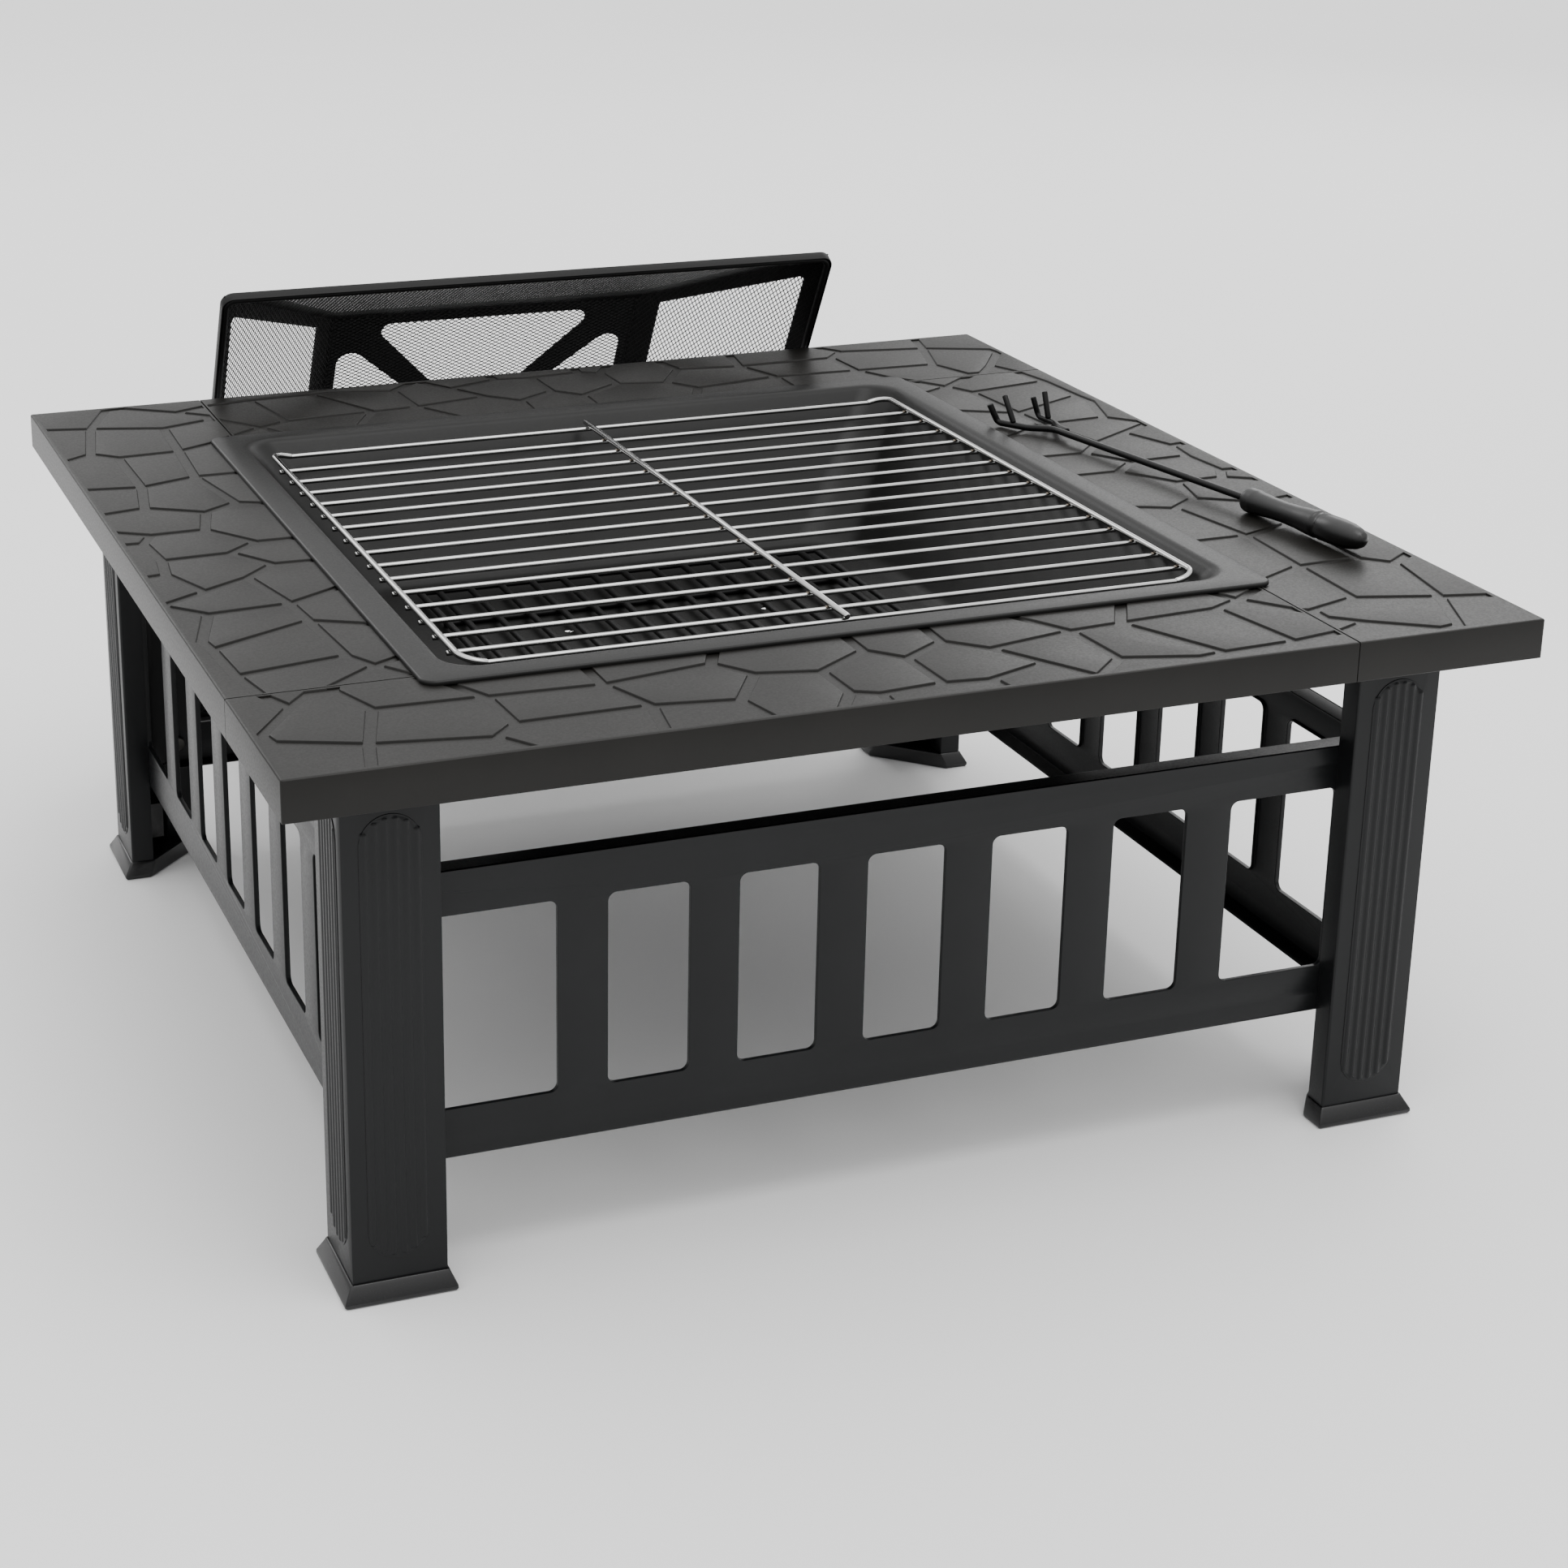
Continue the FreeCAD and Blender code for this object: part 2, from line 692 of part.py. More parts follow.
def leg_top_joints():
    reach = size("top_side") / 2 - size("leg_inset")
    studs = []
    nuts = []
    for index in range(4):
        turn = quarter(index)
        for x, y in leg_stud_spots():
            spot = V(-reach + x, -reach + y, leg_top())
            studs.append(rod("LegStud", "Size.bolt_size / 2", 9.0, turn.multVec(spot), V(0, 0, -1)))
            below = turn.multVec(spot + V(0, 0, -size("leg_thick")))
            nuts.append(nut_body("LegNut", facing(below, V(0, 0, -1))))
    add_node(group("LegStuds", studs), "leg_top_studs")
    add_node(group("LegNuts", nuts), "leg_top_nuts")


def foot(index):
    """A plastic cap with a flared edge and a plug that fills the foot of the leg."""
    flare = size("foot_flare")
    face = size("leg_width")
    back = size("leg_return")
    height = size("foot_height")

    def outline(out, inner, level):
        far = face + out * 0.75
        near = -out
        corners = [(near, near), (far, near), (far, inner), (inner, far), (near, far)]
        points = [V(x, y, level) for x, y in corners]
        return Part.makePolygon(points + points[:1])

    levels = [
        outline(flare - 1.2, back - 3.6, 0.0),
        outline(flare, back - 3.0, 1.4),
        outline(flare - 0.2, back - 2.8, 3.4),
        outline(2.2, back + 0.6, height - 2.2),
        outline(1.3, back + 1.0, height - 0.4),
        outline(0.9, back + 1.2, height),
    ]
    base = solid_feature("FootBase", Part.makeLoft(levels, True, True))
    gap = size("leg_thick") + 0.3
    arm = 34.0
    depth = back - size("leg_thick") - 0.3 - gap
    plug = [
        box("PlugArm", str(arm), str(depth), "Size.plug_height", V(gap, gap, height - 0.5)),
        box("PlugArm", str(depth), str(arm), "Size.plug_height", V(gap, gap, height - 0.5)),
    ]
    body = fuse("Foot", [base] + plug)
    reach = size("top_side") / 2 - size("leg_inset")
    place = quarter(index).multiply(FreeCAD.Placement(V(-reach, -reach, 0), FreeCAD.Rotation()))
    add_node(body, "foot_" + CORNERS[index], place)


# ---------------------------------------------------------------- side frames


def frame_windows():
    """Left and right edge of the seven windows; the outer two run on behind the legs."""
    width = size("window_width")
    pitch = size("window_pitch")
    reach = size("top_side") / 2 - size("leg_inset")
    edge = reach - size("leg_width") + 1.0
    windows = []
    for step in (-2, -1, 0, 1, 2):
        windows.append((step * pitch - width / 2, step * pitch + width / 2))
    outer = 2 * pitch + width / 2 + (pitch - width)
    windows.append((outer, edge))
    windows.append((-edge, -outer))
    return windows


def side_frame(index):
    """A pierced panel, drawn flat in XY with its outer face up and then stood on its edge."""
    reach = size("top_side") / 2 - size("leg_inset")
    end = reach - size("frame_end")
    low = size("frame_low")
    high = size("frame_high")
    sill = size("window_low")
    head = size("window_high")
    sheet = size("frame_thick")
    radius = size("window_radius")
    body = new_body("SideFrame")
    face = new_sketch(body, "FrameFace")
    polygon(face, [(-end, low), (end, low), (end, high), (-end, high)])
    for left, right in frame_windows():
        rounded_polygon(face, [(left, sill), (right, sill), (right, head), (left, head)], [radius] * 4)
    across, heights = frame_bolt_spots()
    for x in (-(reach - across), reach - across):
        for z in heights:
            face.addGeometry(Part.Circle(V(x, z, 0), UP, size("bolt_size") / 2 + 0.3), False)
    pad(body, face, "Size.frame_thick", "FramePad")
    fold = new_sketch(body, "FrameFolds")
    fold_end = end - 15.0
    for edge, inner in ((low, low + sheet), (high - sheet, high)):
        polygon(fold, [(-fold_end, edge), (fold_end, edge), (fold_end, inner), (-fold_end, inner)])
    pad(body, fold, "Size.frame_flange - Size.frame_thick", "FoldPad", True)
    rims = new_sketch(body, "WindowRims")
    for left, right in frame_windows():
        rounded_polygon(rims, [(left, sill), (right, sill), (right, head), (left, head)], [radius] * 4)
        outer = [
            (left - sheet, sill - sheet),
            (right + sheet, sill - sheet),
            (right + sheet, head + sheet),
            (left - sheet, head + sheet),
        ]
        rounded_polygon(rims, outer, [radius + sheet] * 4)
    pad(body, rims, "2.4", "RimPad", True)
    back = -(reach - size("leg_return") - sheet)
    stand = FreeCAD.Placement(V(0, back, 0), FreeCAD.Rotation(V(1, 0, 0), 90))
    add_node(body, "side_frame_" + SIDES[index], quarter(index).multiply(stand))


def frame_fasteners():
    reach = size("top_side") / 2 - size("leg_inset")
    across, heights = frame_bolt_spots()
    inner = -(reach - size("leg_return") - size("frame_thick"))
    bolts = []
    nuts = []
    for index in range(4):
        turn = quarter(index)
        outward = turn.Rotation.multVec(V(0, -1, 0))
        for x in (-(reach - across), reach - across):
            for z in heights:
                bolts.append(bolt_feature("Bolt", 9.5, facing(turn.multVec(V(x, inner, z)), outward)))
                seat = V(x, inner - size("frame_thick") - size("leg_thick"), z)
                nuts.append(nut_body("FrameNut", facing(turn.multVec(seat), outward)))
    add_node(group("FrameBolts", bolts), "frame_bolts")
    add_node(group("FrameNuts", nuts), "frame_nuts")


# ---------------------------------------------------------------- fire bowl


def bowl_centre():
    shift = size("bowl_shift")
    return V(shift, shift, 0)


def bowl_top():
    return size("top_height") + size("bowl_rise")


def wall_half(depth):
    """Half width of the inside of the bowl at a depth below the flange."""
    opening = size("top_side") / 2 - size("panel_width")
    return opening - 8.2 - (depth - 3.6) * size("bowl_slope")


def bowl_sections(grow, drop, name):
    """Round-cornered squares from the mouth to the floor; grow and drop make the outer skin."""
    opening = size("top_side") / 2 - size("panel_width")
    depth = size("bowl_depth")
    corner = size("bowl_corner")
    top = bowl_top()
    rows = [
        (0.0, opening - 1.5, corner + 3.0, 0.0),
        (1.1, opening - 5.0, corner + 1.0, grow * 0.5),
        (3.6, wall_half(3.6), corner, grow),
        (depth - 9.0, wall_half(depth - 9.0), corner + 14.0, grow),
        (depth - 3.0, wall_half(depth - 3.0) - 1.6, corner + 15.0, grow * 0.6),
        (depth, wall_half(depth) - 8.0, corner + 12.0, grow * 0.2),
    ]
    sections = []
    for down, half, radius, out in rows:
        sections.append(rounded_square(half + out, radius + out, top - down - drop, name))
    return sections


def fire_bowl():
    opening = size("top_side") / 2 - size("panel_width")
    flange = opening + size("bowl_rest")
    sheet = size("bowl_thick")
    top = bowl_top()
    body = new_body("BowlFlange")
    plate = new_sketch(body, "FlangeOutline", offset=top - sheet)
    corners = [(-flange, -flange), (flange, -flange), (flange, flange), (-flange, flange)]
    corner = size("flange_corner")
    rounded_polygon(plate, corners, [corner] * 4)
    pad(body, plate, "Size.bowl_thick", "FlangePad")
    hem = new_sketch(body, "FlangeHem", offset=size("top_height"))
    rounded_polygon(hem, corners, [corner] * 4)
    inside = flange - sheet
    corners = [(-inside, -inside), (inside, -inside), (inside, inside), (-inside, inside)]
    rounded_polygon(hem, corners, [corner - sheet] * 4)
    pad(body, hem, "Size.bowl_rise - Size.bowl_thick + 0.2", "HemPad")
    outer = loft("BowlOuter", bowl_sections(sheet * 0.54, sheet, "OuterSection"))
    raw = fuse("BowlRaw", [body, outer])
    mouth = rounded_square(opening - 1.5, size("bowl_corner") + 3.0, top + 1.0, "Mouth")
    inner = loft("BowlInner", [mouth] + bowl_sections(0.0, 0.0, "InnerSection"))
    holes = [inner]
    floor = top - size("bowl_depth")
    for x in (-size("drain_x"), size("drain_x")):
        for y in (-size("drain_y"), size("drain_y")):
            holes.append(rod("Drain", "Size.drain_hole / 2", 12.0, V(x, y, floor - 8.0), UP))
    bowl = cut("Bowl", raw, fuse("BowlCavity", holes))
    add_node(bowl, "fire_bowl", FreeCAD.Placement(bowl_centre(), FreeCAD.Rotation()))


# ---------------------------------------------------------------- charcoal grate


def charcoal_grate():
    """Bars from front to back on two cross rods that stand on the bowl floor."""
    half = wall_half(size("bowl_depth")) - size("coal_gap")
    bar = size("coal_bar")
    cross = size("coal_cross")
    floor = bowl_top() - size("bowl_depth")
    low = floor + cross / 2 + 0.05
    high = low + cross / 2 + bar / 2 - 0.12
    reach = half - 4.0
    centre = FreeCAD.Placement(bowl_centre(), FreeCAD.Rotation())
    bars = []
    count = 13
    for i in range(count):
        x = -half + 14.0 + i * (2 * half - 28.0) / (count - 1)
        bars.append(rod("CoalBar", "Size.coal_bar / 2", 2 * reach, V(x, -reach, high), V(0, 1, 0)))
    crosses = []
    for y in (-0.62 * reach, 0.0, 0.62 * reach):
        crosses.append(rod("CoalCross", "Size.coal_cross / 2", 2 * half, V(-half, y, low), V(1, 0, 0)))
    edges = []
    outer = reach + bar / 2
    for x in (-half, half):
        start = V(x, -outer, high)
        edges.append(rod("CoalEdge", "Size.coal_bar / 2", 2 * outer, start, V(0, 1, 0)))
    for y in (-outer, outer):
        start = V(-half, y, high)
        edges.append(rod("CoalEdge", "Size.coal_bar / 2", 2 * half, start, V(1, 0, 0)))
    for x in (-half, half):
        for y in (-outer, outer):
            ball = DOC.addObject("Part::Sphere", "CoalCorner")
            bind(ball, Radius="Size.coal_bar / 2")
            ball.Placement = FreeCAD.Placement(V(x, y, high), FreeCAD.Rotation())
            edges.append(ball)
    add_node(group("CoalBars", bars), "charcoal_grate_bars", centre)
    add_node(group("CoalCrosses", crosses), "charcoal_grate_cross_rods", centre)
    add_node(fuse("CoalRing", edges), "charcoal_grate_frame", centre)


# ---------------------------------------------------------------- cooking grate


def grate_place():
    shift = V(size("grate_shift_x"), size("grate_shift_y"), 0)
    return FreeCAD.Placement(bowl_centre() + shift, FreeCAD.Rotation())


def side_rod(side, end, bend, high, low):
    """A rod over the bar ends on one side; its own ends turn inwards and sink to meet the end bars."""
    lap = math.copysign(abs(side) - bend - 3.0, side)
    points = [V(lap, -end, low), V(side, -end, high), V(side, end, high), V(lap, end, low)]
    return bent_rod(points, [bend, bend], size("side_rod_size") / 2)


def cooking_grate():
    opening = size("top_side") / 2 - size("panel_width")
    side = opening - size("grate_gap")
    end = opening - size("grate_end_gap")
    level = size("top_height") - size("grate_drop")
    upper = level + size("bar_size") / 2 + size("side_rod_size") / 2 - 0.12
    place = grate_place()
    bend = size("side_rod_bend")
    inner_bars = 15
    front_share = 0.8
    back_share = 1.3
    pitch = 2 * end / (inner_bars - 1 + front_share + back_share)
    spots = [(-end, side - bend - 1.5), (end, side - bend - 1.5)]
    for i in range(inner_bars):
        spots.append((-end + (front_share + i) * pitch, side + 3.0))
    bars = []
    for y, reach in spots:
        bars.append(rod("GrateBar", "Size.bar_size / 2", 2 * reach, V(-reach, y, level), V(1, 0, 0)))
    add_node(group("GrateBars", bars), "cooking_grate_bars", place)
    for sign, name in ((-1, "left"), (1, "right")):
        shape = side_rod(sign * side, end, bend, upper, level)
        add_node(solid_feature("SideRod", shape), "cooking_grate_side_rod_" + name, place)
    start = V(0, -end - 4.0, upper)
    centre = rod("CentreRod", "Size.side_rod_size / 2", 2 * end + 12.0, start, V(0, 1, 0))
    base = place.multiply(centre.Placement)
    add_node(centre, "cooking_grate_centre_rod", base)


# ---------------------------------------------------------------- spark screen


def screen_half():
    opening = size("top_side") / 2 - size("panel_width")
    return opening - size("screen_gap")


def screen_place():
    """Stands on its lower rim and leans its open side on the back edge of the table top."""
    tilt = math.radians(size("screen_tilt"))
    turn = math.radians(size("screen_turn"))
    half = screen_half()
    right = V(math.cos(turn), math.sin(turn), 0)
    back = V(-math.sin(turn), math.cos(turn), 0)
    rise = UP * math.cos(tilt) - back * math.sin(tilt)
    out = back * math.cos(tilt) + UP * math.sin(tilt)
    centre_z = half * math.cos(tilt)
    gap = 0.6 + half * abs(math.sin(turn)) * math.cos(tilt)
    edge_y = size("top_side") / 2
    edge_z = size("top_height")
    centre_y = edge_y + ((edge_z - centre_z) * out.z + gap) / out.y
    turn_to = FreeCAD.Rotation(right * -1, rise, out, "ZXY")
    return FreeCAD.Placement(V(2.0, centre_y, centre_z), turn_to)


def screen_sections(inward, name, low):
    """Frustum sections; inward moves the skin in and down by a sheet thickness."""
    half = screen_half()
    flat = size("screen_flat")
    wall = size("screen_wall")
    deep = size("screen_depth")
    run = half - flat
    rise = deep - wall
    shift = inward * (math.hypot(run, rise) - run) / rise
    return [
        rounded_square(half - inward, 10.0 - inward, low, name),
        rounded_square(half - inward, 10.0 - inward, wall - shift, name),
        rounded_square(flat - inward * 0.35, 6.0, deep - inward, name),
    ]


def screen_windows():
    """Four side windows and the four windows between the crossed bands of the flat."""
    half = screen_half()
    flat = size("screen_flat")
    outer = half - 13.0
    inner = flat + 15.5
    windows = []
    wide = outer - 21.0
    narrow = inner - 15.0
    for turn in range(4):
        loop = [(-wide, -outer), (wide, -outer), (narrow, -inner), (-narrow, -inner)]
        windows.append((turned(loop, turn), [2.0] * 4))
    head = flat - 12.6
    side = flat - 9.8
    tall = [(0.0, 5.0), (head_run(head), head), (-head_run(head), head)]
    windows.append((tall, [4.0, 9.0, 9.0]))
    windows.append((turned(tall, 2), [4.0, 9.0, 9.0]))
    broad = [(14.5, 0.0), (side, side * 0.862), (side, -side * 0.862)]
    windows.append((broad, [4.0, 12.0, 12.0]))
    windows.append((turned(broad, 2), [4.0, 12.0, 12.0]))
    return windows


def head_run(head):
    return (head - 5.0) / 1.18


def turned(loop, quarters):
    points = loop
    for _ in range(quarters):
        points = [(-y, x) for x, y in points]
    return points


def spark_screen():
    sheet = size("screen_thick")
    place = screen_place()
    outer = loft("ScreenOuter", screen_sections(0.0, "ScreenSkin", 0.0))
    inner = loft("ScreenInner", screen_sections(sheet, "ScreenLining", -1.0))
    shell = cut("ScreenRaw", outer, inner)
    body = new_body("ScreenWindows")
    sketch = new_sketch(body, "WindowLoops", offset=size("screen_wall"))
    for loop, radii in screen_windows():
        rounded_polygon(sketch, loop, radii)
    pad(body, sketch, "Size.screen_depth", "WindowPad")
    top = size("screen_depth")
    holes = rivet_holes(top - 4.0, top + 2.0)
    add_node(cut("ScreenShell", shell, group("ShellHoles", [body] + holes)), "screen_shell", place)

    skin = loft("MeshOuter", mesh_sections(sheet, "MeshSkin"))
    lining = loft("MeshInner", mesh_sections(sheet + size("mesh_thick"), "MeshLining"))
    pierced = group("MeshHoles", [lining] + rivet_holes(top - 4.0, top + 2.0))
    add_node(cut("ScreenMesh", skin, pierced), "screen_mesh", place)

    half = screen_half() - sheet - 2.5
    add_node(solid_feature("ScreenRim", square_ring(half, 8.0, 2.5, 2.6)), "screen_rim_wire", place)
    screen_handle(place)


def mesh_sections(inward, name):
    """The mesh lining starts at the upright rim and follows the slopes and the flat."""
    return screen_sections(inward, name, 0.0)[1:]


def square_ring(half, bend, radius, level):
    """A round wire bent into a square with round corners."""
    corners = [V(x, y, level) for x, y in ((-half, -half), (half, -half), (half, half), (-half, half))]
    edges = []
    for i in range(4):
        here = corners[i]
        to_before = (corners[i - 1] - here).normalize()
        to_after = (corners[(i + 1) % 4] - here).normalize()
        start = here + to_before * bend
        end = here + to_after * bend
        middle = here + (to_before + to_after) * (bend * (1 - math.sqrt(0.5)))
        edges.append(Part.Arc(start, middle, end).toShape())
        after = corners[(i + 1) % 4] - to_after * bend
        edges.append(Part.makeLine(end, after))
    wire = Part.Wire(edges)
    start = corners[0] + V(half, 0, 0)
    profile = Part.Wire(Part.makeCircle(radius, corners[0] + V(bend, 0, 0), V(1, 0, 0)))
    return wire.makePipeShell([profile], True, True)


def rivet_spots():
    """The two rivets of the handle, in the solid metal where the bands of the flat cross."""
    return [(-7.5, 0.0), (7.5, 0.0)]


def rivet_holes(low, high):
    holes = []
    for x, y in rivet_spots():
        holes.append(rod("RivetHole", "Size.rivet_size / 2 + 0.15", high - low, V(x, y, low), UP))
    return holes


def screen_handle(place):
    """A staple handle on a foot plate outside the flat, riveted through to a strap inside."""
    top = size("screen_depth")
    reach = size("handle_reach")
    foot_thick = 2.0
    strap_thick = 1.6
    inside = top - size("screen_thick") - size("mesh_thick")
    base = top + foot_thick - 0.2
    crown = base + size("handle_rise")
    corners = [V(-reach, 0, base), V(-reach, 0, crown), V(reach, 0, crown), V(reach, 0, base)]
    staple = bent_rod(corners, [12.0, 12.0], 4.0)
    plate = box("HandlePlate", "2 * Size.handle_reach + 14", "18", "2", V(-reach - 7.0, -9.0, top))
    whole = fuse("HandleRaw", [solid_feature("HandleBar", staple), plate])
    holes = group("HandleHoles", rivet_holes(top - 2, top + 4))
    add_node(cut("Handle", whole, holes), "screen_handle", place)

    strap = box("Strap", "44", "14", "1.6", V(-22.0, -7.0, inside - strap_thick))
    bored = cut("StrapCut", strap, group("StrapHoles", rivet_holes(inside - 4, inside + 2)))
    add_node(bored, "screen_handle_strap", place)

    rivets = []
    for x, y in rivet_spots():
        low = inside - strap_thick
        high = top + foot_thick
        parts = [
            rod("RivetShank", "Size.rivet_size / 2", high - low + 1.0, V(x, y, low - 0.5), UP),
            rod("RivetHead", "Size.rivet_size", 1.4, V(x, y, low), V(0, 0, -1)),
            rod("RivetHead", "Size.rivet_size", 1.4, V(x, y, high), UP),
        ]
        rivets.append(fuse("Rivet", parts))
    add_node(group("Rivets", rivets), "screen_handle_rivets", place)


# ---------------------------------------------------------------- fire fork


def fork_place():
    """The fork lies on the right-hand panel, its handle towards the front."""
    half = size("top_side") / 2
    grip = size("fork_grip")
    tine = size("fork_tine") / 2
    floor = size("top_height")
    scale = half / NOMINAL_HALF
    beside_bowl = half - size("panel_width") + size("bowl_rest") + size("bowl_shift") + 38.0
    head = V(beside_bowl, 75.0 * scale, floor + tine + 3.2)
    tip = V(half - 35.5, -258.0 * scale, floor + grip + 1.2)
    along = (tip - head).normalize()
    side = UP.cross(along).normalize()
    up = along.cross(side)
    return FreeCAD.Placement(head, FreeCAD.Rotation(along, side, up, "XYZ")), (tip - head).Length


def fork():
    """Drawn along +X from the head at the origin to the end of the handle."""
    place, length = fork_place()
    grip = size("fork_grip")
    grip_length = 118.0
    start = length - grip_length
    inside = start + 26.0

    shaft_radius = size("fork_shaft") / 2
    tip = [V(-24, -11.5, -1.2), V(-51, -20.4, -1.6), V(-54, -26.4, 13.0)]
    bend = [V(inside, 0, 0), V(-8, 0, 0)] + tip
    shaft = solid_feature("ForkShaft", bent_rod(bend, [20.0, 20.0, 5.0], shaft_radius))
    add_node(shaft, "fork_shaft", place)

    tine = size("fork_tine") / 2
    beside = shaft_radius + tine - 0.1
    tip = [V(-26, 15.5, -1.4), V(-50, 17.5, -1.8), V(-53, 13.7, 14.0)]
    bend = [V(4, beside, 0.5), V(-10, beside + 2.4, 0)] + tip
    branch = solid_feature("ForkBranch", bent_rod(bend, [20.0, 20.0, 5.0], tine))
    add_node(branch, "fork_side_tine", place)

    prongs = []
    for foot_point, tip in (
        (V(-37, -15.8, -1.4 + shaft_radius - 0.6), V(-48, -17.0, 20.0)),
        (V(-36, 16.3, -1.5 + tine - 0.6), V(-43, 17.0, 20.0)),
    ):
        reach = tip - foot_point
        prongs.append(rod("Prong", "Size.fork_tine / 2", reach.Length, foot_point, reach))
    add_node(group("Prongs", prongs), "fork_prongs", place)

    handle = new_body("ForkHandle")
    profile = new_sketch(handle, "HandleProfile", "XZ_Plane")
    bore = shaft_radius + 0.05
    outline = [
        (start, bore),
        (start, grip * 0.86),
        (start + 2.0, grip * 0.92),
        (start + 9.0, grip * 0.93),
        (start + 12.0, grip * 0.88),
        (start + 24.0, grip * 0.80),
        (start + 38.0, grip * 0.76),
        (start + 52.0, grip * 0.82),
        (start + 64.0, grip * 0.94),
        (start + 72.0, grip * 1.0),
        (start + 73.5, grip * 0.9),
        (start + 76.5, grip * 0.9),
        (start + 78.0, grip * 1.0),
        (start + 94.0, grip * 1.0),
        (start + 104.0, grip * 0.93),
        (start + 111.0, grip * 0.78),
        (start + 115.5, grip * 0.55),
        (length - 0.6, grip * 0.28),
        (length, grip * 0.12),
        (length, 0.0),
        (inside, 0.0),
        (inside, bore),
    ]
    polygon(profile, outline)
    turn = handle.newObject("PartDesign::Revolution", "HandleTurn")
    turn.Profile = profile
    turn.ReferenceAxis = (profile, ["H_Axis"])
    turn.Angle = 360.0
    add_node(handle, "fork_handle", place)

    ferrule = DOC.addObject("Part::Cut", "Ferrule")
    base = V(start - 5.0, 0, 0)
    ferrule.Base = rod("FerruleOuter", "Size.fork_shaft / 2 + 1.6", 5.0, base, V(1, 0, 0))
    ferrule.Tool = rod("FerruleBore", "Size.fork_shaft / 2 + 0.05", 7.0, base - V(1, 0, 0), V(1, 0, 0))
    add_node(ferrule, "fork_ferrule", place)


# ---------------------------------------------------------------- checks and export


def move_to_origin():
    """Slides the set along Y so that the origin is the middle of its footprint."""
    box_all = FreeCAD.BoundBox()
    for node in NODES:
        box_all.add(node.Shape.optimalBoundingBox(False, False))
    middle = V((box_all.XMin + box_all.XMax) / 2, (box_all.YMin + box_all.YMax) / 2, box_all.ZMin)
    print("footprint middle", middle, "size", box_all.XLength, box_all.YLength, box_all.ZLength)
    for node in NODES:
        node.Placement = FreeCAD.Placement(middle * -1, FreeCAD.Rotation()).multiply(node.Placement)
    DOC.recompute()


def check_document():
    for obj in DOC.Objects:
        if "Invalid" in obj.State or "Error" in obj.State:
            raise RuntimeError("%s failed: %s" % (obj.Label, obj.State))
    for node in NODES:
        shape = node.Shape
        if shape.isNull() or not shape.isValid() or not shape.Solids:
            raise RuntimeError("%s has no valid solid" % node.Label)
        for solid in shape.Solids:
            if not solid.isClosed() or solid.Volume <= 0:
                raise RuntimeError("%s holds an open solid" % node.Label)


def export():
    os.makedirs("parts", exist_ok=True)
    for node in NODES:
        node.Shape.exportStep("parts/%s.step" % node.Label)
        print("%-32s %3d solids %10.1f mm3" % (node.Label, len(node.Shape.Solids), node.Shape.Volume))
    print(len(NODES), "nodes")


def build():
    fill_sheet()
    for index in range(4):
        tabletop_panel(index)
        leg(index)
        foot(index)
        side_frame(index)
    seam_joints()
    leg_top_joints()
    frame_fasteners()
    fire_bowl()
    charcoal_grate()
    cooking_grate()
    spark_screen()
    fork()
    DOC.recompute()
    check_document()
    move_to_origin()
    check_document()
    export()


build()
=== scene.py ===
import math

import bpy
from mathutils import Matrix, Vector


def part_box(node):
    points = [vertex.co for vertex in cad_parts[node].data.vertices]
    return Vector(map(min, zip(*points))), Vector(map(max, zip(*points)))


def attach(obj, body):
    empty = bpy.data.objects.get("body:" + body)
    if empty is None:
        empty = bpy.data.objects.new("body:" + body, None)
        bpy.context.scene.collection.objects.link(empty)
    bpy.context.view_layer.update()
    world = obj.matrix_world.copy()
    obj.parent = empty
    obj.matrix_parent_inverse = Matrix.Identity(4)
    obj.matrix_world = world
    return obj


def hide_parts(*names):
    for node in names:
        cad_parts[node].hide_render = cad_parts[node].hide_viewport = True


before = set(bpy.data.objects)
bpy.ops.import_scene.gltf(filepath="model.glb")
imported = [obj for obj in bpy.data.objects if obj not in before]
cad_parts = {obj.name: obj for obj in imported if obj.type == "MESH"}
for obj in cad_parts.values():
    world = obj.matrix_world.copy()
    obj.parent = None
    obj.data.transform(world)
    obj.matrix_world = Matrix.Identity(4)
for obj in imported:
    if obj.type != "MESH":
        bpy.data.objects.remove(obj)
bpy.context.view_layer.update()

bl_info = {
    "name": "Fire pit table",
    "version": (1, 0, 0),
    "blender": (4, 5, 0),
    "location": "View3D > Sidebar > Fire pit",
    "description": "Dresses a square fire pit table with its grates, spark screen and fork",
    "category": "Add Mesh",
}

MM = 0.001
UP = Vector((0, 0, 1))
SIDES = ("front", "right", "back", "left")
CORNERS = ("front_left", "front_right", "back_right", "back_left")


def centre_of(*nodes):
    """Middle of the box round some CAD nodes."""
    lows, highs = zip(*(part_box(node) for node in nodes))
    low = Vector([min(corner[axis] for corner in lows) for axis in range(3)])
    high = Vector([max(corner[axis] for corner in highs) for axis in range(3)])
    return (low + high) / 2


PANELS = ["tabletop_panel_" + side for side in SIDES]
TABLE_CENTRE = centre_of(*PANELS)
TABLE_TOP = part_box("tabletop_panel_front")[1].z
TABLE_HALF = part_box("tabletop_panel_right")[1].x
SKIRT_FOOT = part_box("tabletop_panel_front")[0].z
# The outer face of a leg from the table centre, the width of that face, and how far the side frame
# stands behind it.
LEG_REACH = 363.3 * MM
LEG_FACE = 59.3 * MM
FRAME_FACE = 17.0 * MM
BOWL_LOW, BOWL_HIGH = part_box("fire_bowl")
BOWL_CENTRE = centre_of("fire_bowl")
BOWL_CENTRE.z = 0.0
DRAIN_OFF = (77 * MM, 59 * MM)
DRAIN_RADIUS = 4 * MM
PAINT_IOR = 1.31
PLASTIC_IOR = 1.49


